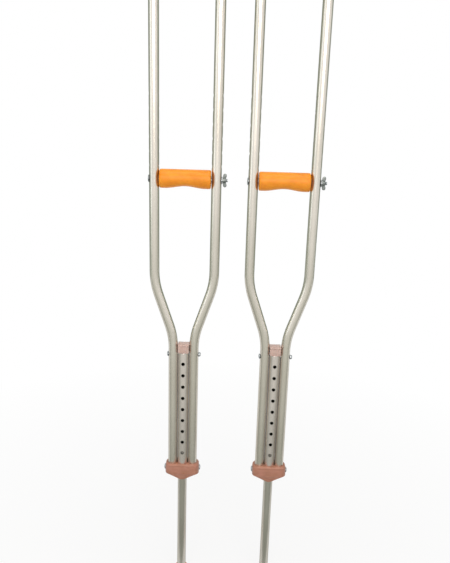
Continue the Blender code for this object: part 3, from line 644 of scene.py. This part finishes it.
def make_button_spring():
    """A leaf bent in a V. Its front leg goes in with the button."""
    front, back, drop, half_width = -4.7 * MM, 7.0 * MM, 30 * MM, 3 * MM
    bend, middle = (back - front) / 2, (back + front) / 2
    path = [(front, 5 * MM), (front, -5 * MM), (front, -15 * MM), (front, -23 * MM)]
    for i in range(BEND_STEPS + 1):
        angle = math.pi + math.pi * i / BEND_STEPS
        path.append((middle + bend * math.cos(angle), -drop + bend * math.sin(angle)))
    path += [(back, -20 * MM), (back, -8 * MM), (back, 3 * MM)]
    # A strip two points wide, laid along the path
    shape = bmesh.new()
    strip = bmesh.ops.create_grid(shape, x_segments=1, y_segments=len(path) - 1, size=half_width)["verts"]
    for k, point in enumerate(strip):
        y, z = path[k // 2]
        point.co = (point.co.x, y, BUTTON_Z + z)
    leaf = new_object("leaf", to_mesh(shape))
    wall = leaf.modifiers.new("wall", "SOLIDIFY")
    wall.thickness = 0.6 * MM
    wall.offset = 0
    edges = leaf.modifiers.new("edges", "BEVEL")
    edges.width = 0.12 * MM
    edges.segments = 2
    mesh = finished_mesh(leaf)
    shade(mesh, 40)
    for crutch, piece in fit("button_spring", mesh, "spring_steel").items():
        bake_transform(piece)


# Rubber tip

def make_tip():
    neck, foot, height, seat = 13.6 * MM, 19.5 * MM, 42 * MM, 16.5 * MM
    inside = BOW_RADIUS + CLEARANCE
    bead = neck + 0.7 * MM
    profile = [
        (0, seat),
        (inside, seat, 0.5 * MM),
        (inside, height, 0.4 * MM),
        (neck, height, 0.9 * MM),
        (neck, height - 5.0 * MM),
        (bead, height - 5.6 * MM, 0.3 * MM),
        (bead, height - 7.2 * MM, 0.3 * MM),
        (neck + 0.1 * MM, height - 7.8 * MM),
        (neck + 0.4 * MM, 23 * MM, 3 * MM),
        (neck + 2.0 * MM, 16 * MM, 3 * MM),
        (foot - 1.2 * MM, 10 * MM, 2 * MM),
        (foot, 6.5 * MM, 1.5 * MM),
        (foot, 0, 2.2 * MM),
    ]
    # Rings of tread under the foot
    easing, groove = 0.15 * MM, 1.4 * MM
    for outer in (15.6 * MM, 12.4 * MM, 9.2 * MM, 6.0 * MM):
        profile += [
            (outer, 0, easing),
            (outer - 0.3 * MM, groove, easing),
            (outer - 1.3 * MM, groove, easing),
            (outer - 1.6 * MM, 0, easing),
        ]
    profile.append((0, 0))
    mesh = to_mesh(turned(eased(profile), LARGE_SIDES))
    shade(mesh)
    fit("tip", mesh, "amber_rubber", "leg")

    rim, bore, low, high, easing = 8.8 * MM, 3 * MM, 16.8 * MM, 18.3 * MM, 0.2 * MM
    profile = eased([(rim, high, easing), (rim, low, easing), (bore, low), (bore, high)])
    washer = to_mesh(turned(profile, closed=True))
    shade(washer)
    fit("tip_washer", washer, "plated_steel", "leg")


# Fasteners

def headed_pin(head_x, end_x, z, head_radius, head_height, radius, recess=None, thread=None):
    """A round-headed pin along X: the head bears at head_x, and the shank ends at end_x.

    A recess is a cross's half width, depth and half thickness. A thread is its start and its pitch.
    """
    length = abs(end_x - head_x)
    rim, steps = head_height * 0.3, 8
    profile = [(0, head_height)]
    for k in range(1, steps + 1):
        angle = k / steps * math.pi / 2
        profile.append((head_radius * math.sin(angle), rim + (head_height - rim) * math.cos(angle)))
    profile += [(head_radius, 0, 0.15 * MM), (radius, 0)]
    if thread:
        start, pitch = thread
        groove, height = radius - 0.42 * pitch, -start
        while height - pitch > -length + pitch / 2:
            profile += [(radius, height), (groove, height - pitch / 2)]
            height -= pitch
        profile.append((radius, height))
    profile += [(radius, -length, 0.4 * MM), (0, -length)]
    pin = laid(turned(eased(profile)), "X" if head_x > end_x else "-X", (head_x, 0, z))
    if not recess:
        return to_mesh(pin)
    out = math.copysign(1, head_x - end_x)
    across, deep, thin = recess
    top = head_x + out * head_height
    level = box((top - deep, -across, z - thin), (top + deep, across, z + thin))
    upright = box((top - deep, -thin, z - across), (top + deep, thin, z + across))
    return carved(pin, ("DIFFERENCE", level), ("DIFFERENCE", upright))


def make_cross_bolt():
    outside = BOW_LOWER_X + BOW_RADIUS + CLEARANCE
    end = outside + 2.6 * MM
    bolt = headed_pin(-outside, end, CROSS_BOLT_Z, 5.2 * MM, 2.8 * MM, CROSS_BOLT_RADIUS)
    shade(bolt)
    fit("cross_bolt", bolt, "plated_steel", "frame")

    cap_radius, cap_height, hex_radius, hex_height = 4.4 * MM, 4.2 * MM, 4.8 * MM, 1.9 * MM
    dome = turned(eased([
        (0, cap_height), (4.0 * MM, cap_height, 1.7 * MM), (4.2 * MM, 2.1 * MM),
        (cap_radius, hex_height), (cap_radius, 0.8 * MM), (0, 0.8 * MM),
    ], 6))
    flats = rods(hex_radius, hex_height, [(0, 0, hex_height / 2)], sides=6)
    soften(flats, 0.25 * MM, 2)
    bore = rods(CROSS_BOLT_RADIUS + PIN_SLACK, 6 * MM, [(0, 0, 0)])
    nut = carved(dome, ("UNION", flats), ("DIFFERENCE", bore))
    nut.transform(Matrix.Translation((outside, 0, CROSS_BOLT_Z)) @ TURNS["X"])
    shade(nut)
    fit("cross_bolt_nut", nut, "plated_steel", "frame")


def make_rivets_and_screws():
    for side_name, side in SIDES.items():
        end = side * (BOW_LOWER_X + BOW_RADIUS - BOW_WALL - 1.5 * MM)
        head = side * (COLLAR_HALF_WIDTH + CLEARANCE)
        rivet = headed_pin(head, end, RIVET_Z, 5.6 * MM, 2.7 * MM, RIVET_RADIUS)
        shade(rivet)
        fit(f"collar_rivet_{side_name}", rivet, "plated_steel", "frame")
        end = side * (BOW_UPPER_X + BOW_RADIUS - BOW_WALL - 2.0 * MM)
        head = side * (BOW_UPPER_X + SOCKET_RADIUS + CLEARANCE)
        cross = (2.0 * MM, 1.1 * MM, 0.45 * MM)
        screw = headed_pin(head, end, SCREW_Z, 4.2 * MM, 2.0 * MM, SCREW_RADIUS, recess=cross)
        shade(screw)
        fit(f"saddle_screw_{side_name}", screw, "plated_steel", "frame")


# Moulded plastic pieces

def make_spacer_block():
    half, deep = 11.1 * MM, 10.2 * MM
    lid_half, lid_deep, lid_height = 11.3 * MM, 11.1 * MM, 3.0 * MM
    plug_radius, plug_bottom, plug_top = 9.6 * MM, 0.5515, LEG_TOP_Z + 2 * MM
    top, through = 0.5812, 40 * MM
    body = box((-half, -deep, LEG_TOP_Z + CLEARANCE), (half, deep, top - 1 * MM), 0.9 * MM)
    lid = box((-lid_half, -lid_deep, top - lid_height), (lid_half, lid_deep, top), 0.8 * MM)
    plug_middle = (0, 0, (plug_top + plug_bottom) / 2)
    mesh = carved(
        body,
        ("UNION", lid),
        ("UNION", rods(plug_radius, plug_top - plug_bottom, [plug_middle], sides=TUBE_SIDES)),
        ("DIFFERENCE", rods(CROSS_BOLT_RADIUS + PIN_SLACK, through, [(0, 0, CROSS_BOLT_Z)], "X")),
    )
    shade(mesh)
    # Its finish is the paler copy of the tan plastic: painted light
    fit("spacer_block", mesh, "tan_plastic", "frame", "tan_plastic_painted_light")


def rounded_ring(shape, half_width, half_depth, corner, z, sides=LARGE_SIDES):
    """A rectangle with round corners, made of a circle whose quarters are moved apart."""
    turn = Matrix.Rotation(math.pi / sides, 4, "Z")
    points = ring(shape, corner, Matrix.Translation((0, 0, z)) @ turn, sides)
    for point in points:
        point.co.x += math.copysign(half_width - corner, point.co.x)
        point.co.y += math.copysign(half_depth - corner, point.co.y)
    return points


def make_collar():
    width, depth, corner = COLLAR_HALF_WIDTH, 15.5 * MM, 10.5 * MM
    top, rim, waist, foot = 0.3100, 0.3052, 0.2868, 0.2730
    sections = []
    # Inset across, inset in depth and drop below the top, round the sloping shoulders
    for across, along, down in (
        (7.4, 3.2, 0.0), (6.0, 2.2, 0.08), (4.6, 1.4, 0.35), (3.1, 0.75, 0.9), (1.9, 0.35, 1.7),
        (1.0, 0.1, 2.8), (0.5, 0.0, 3.9), (0.35, 0.0, 4.5),
    ):
        sections.append((width - across * MM, depth - along * MM, corner - along * MM, top - down * MM))
    # A shallow step under the rim
    for height, inset in ((-0.15, 0.8), (-0.6, 0.85), (-1.6, 0.45), (-3.2, 0.1), (-5.0, 0.0)):
        sections.append((width - inset * MM, depth - inset * MM, corner - inset * MM, rim + height * MM))
    # The sides round in above the waist
    round_in, steps = 1.7 * MM, 4
    for k in range(steps + 1):
        share = k / steps
        drawn = share * share
        sections.append((
            width - round_in * drawn, depth - 0.8 * MM * drawn, corner - 1.0 * MM * drawn,
            waist + round_in * (1 - share),
        ))
    # Below it they slope to the neck: half widths, half depths, corners and heights
    for half_width, half_depth, radius, z in (
        (29.0, 14.4, 9.8, 284.0), (23.5, 14.1, 10.1, 281.2), (19.5, 13.6, 10.8, 278.5),
        (16.2, 13.1, 11.5, 276.2), (13.6, 12.6, 12.0, 274.2), (12.3, 12.3, 12.3, 273.2),
        (12.0, 12.0, 12.0, 273.0),
    ):
        sections.append((half_width * MM, half_depth * MM, radius * MM, z * MM))
    shape = bmesh.new()
    skin(shape, [rounded_ring(shape, *section) for section in sections])
    pocket, one_wall = 60 * MM, 12 * MM
    leg_place = (0, 0, LEG_BOTTOM_Z - CLEARANCE + pocket / 2)
    bow_places = [(x, 0, BOW_BOTTOM_Z - CLEARANCE + pocket / 2) for x in (-BOW_LOWER_X, BOW_LOWER_X)]
    rivet_places = [(-width, 0, RIVET_Z), (width, 0, RIVET_Z)]
    mesh = carved(
        shape,
        ("DIFFERENCE", rods(LEG_RADIUS + CLEARANCE, pocket, [leg_place], sides=TUBE_SIDES)),
        ("DIFFERENCE", rods(BOW_RADIUS + CLEARANCE, pocket / 2, [(0, 0, foot)], sides=TUBE_SIDES)),
        ("DIFFERENCE", rods(BOW_RADIUS + CLEARANCE, pocket, bow_places, sides=TUBE_SIDES)),
        ("DIFFERENCE", rods(RIVET_RADIUS + PIN_SLACK, one_wall, rivet_places, "X")),
    )
    shade(mesh, 30)
    fit("collar", mesh, "tan_plastic", "frame")


def make_saddle():
    bar_bottom, socket_bottom, bore, one_wall = 1.288, 1.262, 60 * MM, 10 * MM
    low = (-SADDLE_HALF_LENGTH, -SADDLE_HALF_DEPTH, bar_bottom)
    high = (SADDLE_HALF_LENGTH, SADDLE_HALF_DEPTH, SADDLE_TOP_Z)
    sockets = bmesh.new()
    for x in (-BOW_UPPER_X, BOW_UPPER_X):
        rings = [
            ring(sockets, radius, Matrix.Translation((x, 0, z)))
            for radius, z in (
                (SOCKET_RADIUS - 0.8 * MM, socket_bottom),
                (SOCKET_RADIUS - 0.25 * MM, socket_bottom + 0.2 * MM),
                (SOCKET_RADIUS, socket_bottom + 0.8 * MM),
                (SOCKET_RADIUS, socket_bottom + 4 * MM),
                (SOCKET_RADIUS, SADDLE_TOP_Z - 1.5 * MM),
            )
        ]
        skin(sockets, rings)
    bow_places = [(x, 0, BOW_TOP_Z + CLEARANCE - bore / 2) for x in (-BOW_UPPER_X, BOW_UPPER_X)]
    screw_places = [(side * (BOW_UPPER_X + SOCKET_RADIUS), 0, SCREW_Z) for side in SIDES.values()]
    mesh = carved(
        box(low, high, 3 * MM, 4),
        ("UNION", sockets),
        ("DIFFERENCE", rods(BOW_RADIUS + CLEARANCE, bore, bow_places, sides=TUBE_SIDES)),
        ("DIFFERENCE", rods(SCREW_RADIUS + PIN_SLACK, one_wall, screw_places, "X")),
    )
    shade(mesh)
    fit("underarm_saddle", mesh, "tan_plastic", "frame")


# Hand grip

def make_grip():
    """Flat along its top, waisted below for the fingers, with rounded ends."""
    half, edge, edge_steps = 48.4 * MM, 3.0 * MM, 5
    stations = [(x * MM, 0.0) for x in range(-44, 45, 4)]
    for k in range(1, edge_steps + 1):
        angle = k / edge_steps * math.pi / 2
        x, inset = half - edge + edge * math.sin(angle), edge * (1 - math.cos(angle))
        stations.append((x, inset))
        stations.insert(0, (-x, inset))
    shape = bmesh.new()
    rings = []
    waist_end = 0.78 * half
    for x, inset in stations:
        along = min(1.0, abs(x) / waist_end)
        swell = along * along * (3 - 2 * along)
        below = 12.7 * MM + 4.3 * MM * swell - inset
        depth = 16.8 * MM + 1.4 * MM * swell - inset
        above = 18.7 * MM - inset
        points = ring(shape, 1.0, Matrix.Translation((x, 0, 0)) @ TURNS["X"], LARGE_SIDES)
        bmesh.ops.scale(shape, vec=(1, depth, 1), verts=points)
        bmesh.ops.scale(shape, vec=(1, 1, above), verts=[point for point in points if point.co.z > 0])
        bmesh.ops.scale(shape, vec=(1, 1, below), verts=[point for point in points if point.co.z < 0])
        rings.append(points)
    # The bore for the core, with a small chamfer at its ends
    for x, radius in ((48.3, 8.3), (47.7, 7.8), (-47.7, 7.8), (-48.3, 8.3)):
        rings.append(ring(shape, radius * MM, Matrix.Translation((x * MM, 0, 0)) @ TURNS["X"], LARGE_SIDES))
    skin(shape, rings, closed=True)
    bmesh.ops.translate(shape, verts=shape.verts, vec=(0, 0, GRIP_Z))
    mesh = to_mesh(shape)
    shade(mesh, 50)
    fit("grip", mesh, "amber_rubber", "handgrip")

    reach = BOW_UPPER_X - BOW_RADIUS - CLEARANCE
    outer, inner = 7.5 * MM, 3.6 * MM
    core = turned(eased([
        (outer, reach, 0.4 * MM), (outer, -reach, 0.4 * MM), (inner, -reach), (inner, reach),
    ]), TUBE_SIDES, closed=True)
    mesh = to_mesh(laid(core, "X", (0, 0, GRIP_Z)))
    shade(mesh)
    fit("grip_core", mesh, "tan_plastic", "handgrip")


def make_grip_hardware():
    outside = BOW_UPPER_X + BOW_RADIUS + CLEARANCE
    bolt_radius, bore = 3.175 * MM, 3.6 * MM
    thread_start, thread_pitch = 138 * MM, 1.27 * MM
    bolt = headed_pin(-outside, 80.0 * MM, GRIP_Z, 7.0 * MM, 1.8 * MM, bolt_radius,
                      thread=(thread_start, thread_pitch))
    shade(bolt, 30)
    fit("grip_bolt", bolt, "plated_steel", "handgrip")

    rim, thick = 7.0 * MM, 1.1 * MM
    profile = eased([(rim, thick, 0.2 * MM), (rim, 0, 0.2 * MM), (bore, 0), (bore, thick)])
    washer = to_mesh(laid(turned(profile, TUBE_SIDES, closed=True), "X", (outside, 0, GRIP_Z)))
    shade(washer)
    fit("grip_washer", washer, "plated_steel", "handgrip")

    seat = outside + thick + CLEARANCE
    hub = turned(eased([
        (0, 6.6 * MM), (4.6 * MM, 6.6 * MM, 0.5 * MM), (5.5 * MM, 1.2 * MM, 0.5 * MM),
        (5.5 * MM, 0, 0.3 * MM), (0, 0),
    ]), TUBE_SIDES)
    # Half of the wings' outline, in millimetres along the bolt and a share of the reach across it
    reach, wing_thickness = 12.8 * MM, 2.4 * MM
    outline = [
        (along * MM, share * reach) for along, share in (
            (0.6, 0.0), (0.7, 0.45), (1.0, 0.72), (2.0, 0.91), (3.6, 0.99), (5.0, 1.0),
            (6.4, 0.97), (7.5, 0.87), (7.9, 0.70), (7.6, 0.54), (6.9, 0.40), (6.0, 0.0),
        )
    ]
    wings = bmesh.new()
    corners = [wings.verts.new((-across, 0, along)) for along, across in outline]
    corners += [wings.verts.new((across, 0, along)) for along, across in reversed(outline[1:-1])]
    plate = wings.faces.new(corners)
    grown = bmesh.ops.extrude_face_region(wings, geom=[plate])["geom"]
    moved = [item for item in grown if isinstance(item, bmesh.types.BMVert)]
    bmesh.ops.translate(wings, verts=moved, vec=(0, wing_thickness, 0))
    bmesh.ops.translate(wings, verts=wings.verts, vec=(0, -wing_thickness / 2, 0))
    bmesh.ops.recalc_face_normals(wings, faces=wings.faces)
    level = 0.1 * MM
    rims = [edge for edge in wings.edges if abs(edge.verts[0].co.y - edge.verts[1].co.y) < level]
    round_edges(wings, rims, 0.8 * MM, 4)
    nut = carved(hub, ("UNION", wings), ("DIFFERENCE", rods(bore, 30 * MM, [(0, 0, 0)])))
    nut.transform(Matrix.Translation((seat, 0, GRIP_Z)) @ TURNS["X"])
    shade(nut, 30)
    fit("wing_nut", nut, "plated_steel", "nut", "handled_steel")


# Underarm pad

def make_pad():
    """A moulded cushion over the saddle: crowned, dipped along its middle, sides drawn in."""
    reach, bottom, dip, width = 86.0 * MM, 1.282, 14 * MM, 24.8 * MM
    # Subdivision rounds the crown, which takes this much off it
    lost_to_rounding = 4.9 * MM
    half = [(28 * MM, 1.0), (54 * MM, 1.0), (73 * MM, 1.0), (reach - 2 * MM, 0.90), (reach, 0.62)]
    stations = [(-x, squeeze) for x, squeeze in reversed(half)] + [(0.0, 1.0)] + half
    middle = bottom + 30 * MM
    shape = bmesh.new()
    rings = []
    for x, squeeze in stations:
        crown = OVERALL_HEIGHT + lost_to_rounding - dip * (1 - (x / reach) ** 2)
        side = [
            (0.0, bottom),
            (width * 0.70, bottom),
            (width * 0.86, bottom + 8 * MM),
            (width * 0.86, bottom + 22 * MM),
            (width * 1.04, crown - 16 * MM),
            (width * 0.72, crown - 1.5 * MM),
            (0.0, crown),
        ]
        outline = side + [(-y, z) for y, z in reversed(side[1:-1])]
        points = ring(shape, width, sides=len(outline))
        for point, (y, z) in zip(points, outline):
            point.co = (x, y * squeeze, middle + (z - middle) * squeeze)
        rings.append(points)
    skin(shape, rings)
    cushion = new_object("cushion", to_mesh(shape))
    smooth = cushion.modifiers.new("smooth", "SUBSURF")
    smooth.levels = 3
    smooth.render_levels = 3
    shape = bmesh.new()
    shape.from_mesh(finished_mesh(cushion))

    # A fine ridge round it, where the mould closed
    seam, seam_half_width, seam_height = bottom + 24 * MM, 0.6 * MM, 0.35 * MM
    for z in (seam - seam_half_width, seam, seam + seam_half_width):
        everything = shape.verts[:] + shape.edges[:] + shape.faces[:]
        bmesh.ops.bisect_plane(shape, geom=everything, plane_co=(0, 0, z), plane_no=(0, 0, 1))
    shape.normal_update()
    for point in shape.verts:
        if abs(point.co.z - seam) < 0.01 * MM:
            point.co += point.normal * seam_height

    # The hollow that sits on the saddle
    gap, below = 0.5 * MM, 10 * MM
    across, along, top = SADDLE_HALF_LENGTH + gap, SADDLE_HALF_DEPTH + gap, SADDLE_TOP_Z + gap
    slot = box((-across, -along, bottom - below), (across, along, top), 2.5 * MM)
    socket_places = [(x, 0, (top + bottom - below) / 2) for x in (-BOW_UPPER_X, BOW_UPPER_X)]
    sockets = rods(SOCKET_RADIUS + 0.55 * MM, top - bottom + below, socket_places, sides=TUBE_SIDES)
    mesh = carved(shape, ("DIFFERENCE", slot), ("DIFFERENCE", sockets))
    shade(mesh, 50)
    for piece in fit("underarm_pad", mesh, "amber_rubber", "frame").values():
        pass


make_bows()
make_leg_tube()
make_extension_tube()
make_snap_button()
make_button_spring()
make_tip()
make_cross_bolt()
make_rivets_and_screws()
make_spacer_block()
make_collar()
make_saddle()
make_grip()
make_grip_hardware()
make_pad()


# Studio

def make_floor():
    shape = bmesh.new()
    bmesh.ops.create_circle(shape, cap_ends=True, radius=40, segments=LARGE_SIDES)
    floor = new_object("floor", to_mesh(shape))
    material, tree, shader = new_material("white paper floor")
    plug(tree, shader, {"Base Color": linear("#DEDEDC"), "Roughness": 0.9, "Specular IOR Level": 0.1})
    # Seen by the camera or in metal, the paper glows white, less so near the object to keep its shadow
    near, far, near_glow = 0.15, 1.3, 0.86
    place = add(tree, "TexCoord").outputs["Object"]
    away = add(tree, "VectorMath", {0: place}, operation="LENGTH").outputs["Value"]
    white = add(tree, "MapRange", {
        "Value": away, "From Min": near, "From Max": far, "To Min": near_glow, "To Max": 1.0,
    })
    rays = seen(tree, "Is Camera Ray", "Is Glossy Ray")
    share = add(tree, "Math", {0: rays, 1: white.outputs["Result"]}, operation="MULTIPLY")
    glow = add(tree, "Emission", {"Color": (1, 1, 1, 1), "Strength": 1.0})
    mix = add(tree, "MixShader", {0: share.outputs[0], 1: shader.outputs[0], 2: glow.outputs[0]})
    plug(tree, tree.nodes["Material Output"], {"Surface": mix.outputs[0]})
    floor.data.materials.append(material)


def make_world():
    """Pale grey light, with white wherever it is seen."""
    world = bpy.data.worlds.new("studio")
    bpy.context.scene.world = world
    world.use_nodes = True
    tree = world.node_tree
    rays = seen(tree, "Is Camera Ray", "Is Glossy Ray", "Is Transmission Ray")
    colour = tinted(tree, linear("#B6B8BA"), "#FFFFFF", rays, 0.0, 1.0)
    plug(tree, tree.nodes["Background"], {"Color": colour, "Strength": 1.0})


def make_flat(name, shape, near, middle=None):
    """A glowing sheet that shows only in gloss, as a painted dark reflection of the darker sides of a room.

    With a middle colour it pales with distance, to that colour and then to white.
    """
    flat = new_object(name, to_mesh(shape))
    material, tree, _ = new_material(name)
    colour = linear(near)
    if middle:
        depth = add(tree, "SeparateXYZ", {0: add(tree, "TexCoord").outputs["Object"]}).outputs["Y"]
        # Y where it starts to pale, reaches the middle colour, leaves it and is white
        start, reached, left, white = -0.15, -1.1, -2.3, -3.9
        colour = tinted(tree, colour, middle, depth, start, reached)
        colour = tinted(tree, colour, "#FFFFFF", depth, left, white)
    glow = add(tree, "Emission", {"Color": colour, "Strength": 1.0})
    plug(tree, tree.nodes["Material Output"], {"Surface": glow.outputs[0]})
    flat.data.materials.append(material)
    flat.visible_camera = False
    flat.visible_diffuse = False
    flat.visible_transmission = False
    flat.visible_volume_scatter = False
    flat.visible_shadow = False


def make_flats():
    """Curved flats at both sides, painted dark reflections that darken the tubes' edges, and an apron just
    over the floor, a painted darker reflection of the floor near the object.
    """
    distance, height = 2.4, 3.4
    for name, start, sweep in (("left painted-reflection flat", -60, -105), ("right painted-reflection flat", 95, 70)):
        shape = bmesh.new()
        turn = Matrix.Rotation(math.radians(start), 4, "Z")
        line = [shape.verts.new(turn @ Vector((0, -distance, z))) for z in (0.0, height)]
        edge = shape.edges.new(line)
        bmesh.ops.spin(shape, geom=line + [edge], cent=(0, 0, 0), axis=(0, 0, 1),
                       angle=math.radians(sweep), steps=16)
        # Painted reflection: a dark glowing sheet, seen only in metal
        make_flat(name, shape, "#A3ADA1")
    # Painted reflection: the apron darkens the floor's reflection near the object, paling with distance
    apron = box((-5.0, -7.0, 1 * MM), (5.0, -0.06, 2 * MM))
    make_flat("painted floor reflection apron", apron, "#999D95", "#D5D7CF")


def make_lamps():
    """Three softboxes, in metres and watts."""
    for name, place, aim, width, height, power, colour in (
        ("key softbox", (0.2, -2.2, 1.95), (0, 0, 1.0), 1.7, 1.2, 34, "#FFF3EA"),
        ("overhead softbox", (0, -0.5, 3.1), (0, 0, 0.9), 1.1, 1.1, 17, "#FFF8F0"),
        ("fill softbox", (-1.9, -0.8, 1.2), (0, 0, 0.7), 1.0, 1.6, 6, "#F4F8FF"),
    ):
        data = bpy.data.lights.new(name, "AREA")
        data.shape = "RECTANGLE"
        data.size = width
        data.size_y = height
        data.energy = power
        data.color = linear(colour)[:3]
        lamp = new_object(name, data)
        lamp.location = place
        lamp.rotation_euler = (Vector(aim) - Vector(place)).to_track_quat("-Z", "Y").to_euler()


def make_camera():
    """The photograph's camera, found from the holes, tubes and collars of both crutches."""
    photo_pixels_high, focal_pixels = 563, 560
    place = (-0.01306, -1.0698, 0.9985)
    looks_down, rolled = math.radians(14.873), math.radians(1.701)
    data = bpy.data.cameras.new("camera")
    data.sensor_fit = "VERTICAL"
    data.sensor_height = 36
    data.lens = focal_pixels / photo_pixels_high * data.sensor_height
    camera = new_object("camera", data)
    camera.matrix_world = (
        Matrix.Translation(place)
        @ Matrix.Rotation(math.pi / 2 - looks_down, 4, "X")
        @ Matrix.Rotation(rolled, 4, "Z")
    )
    bpy.context.scene.camera = camera


make_floor()
make_world()
make_flats()
make_lamps()
make_camera()
bpy.context.scene.view_settings.view_transform = "Standard"
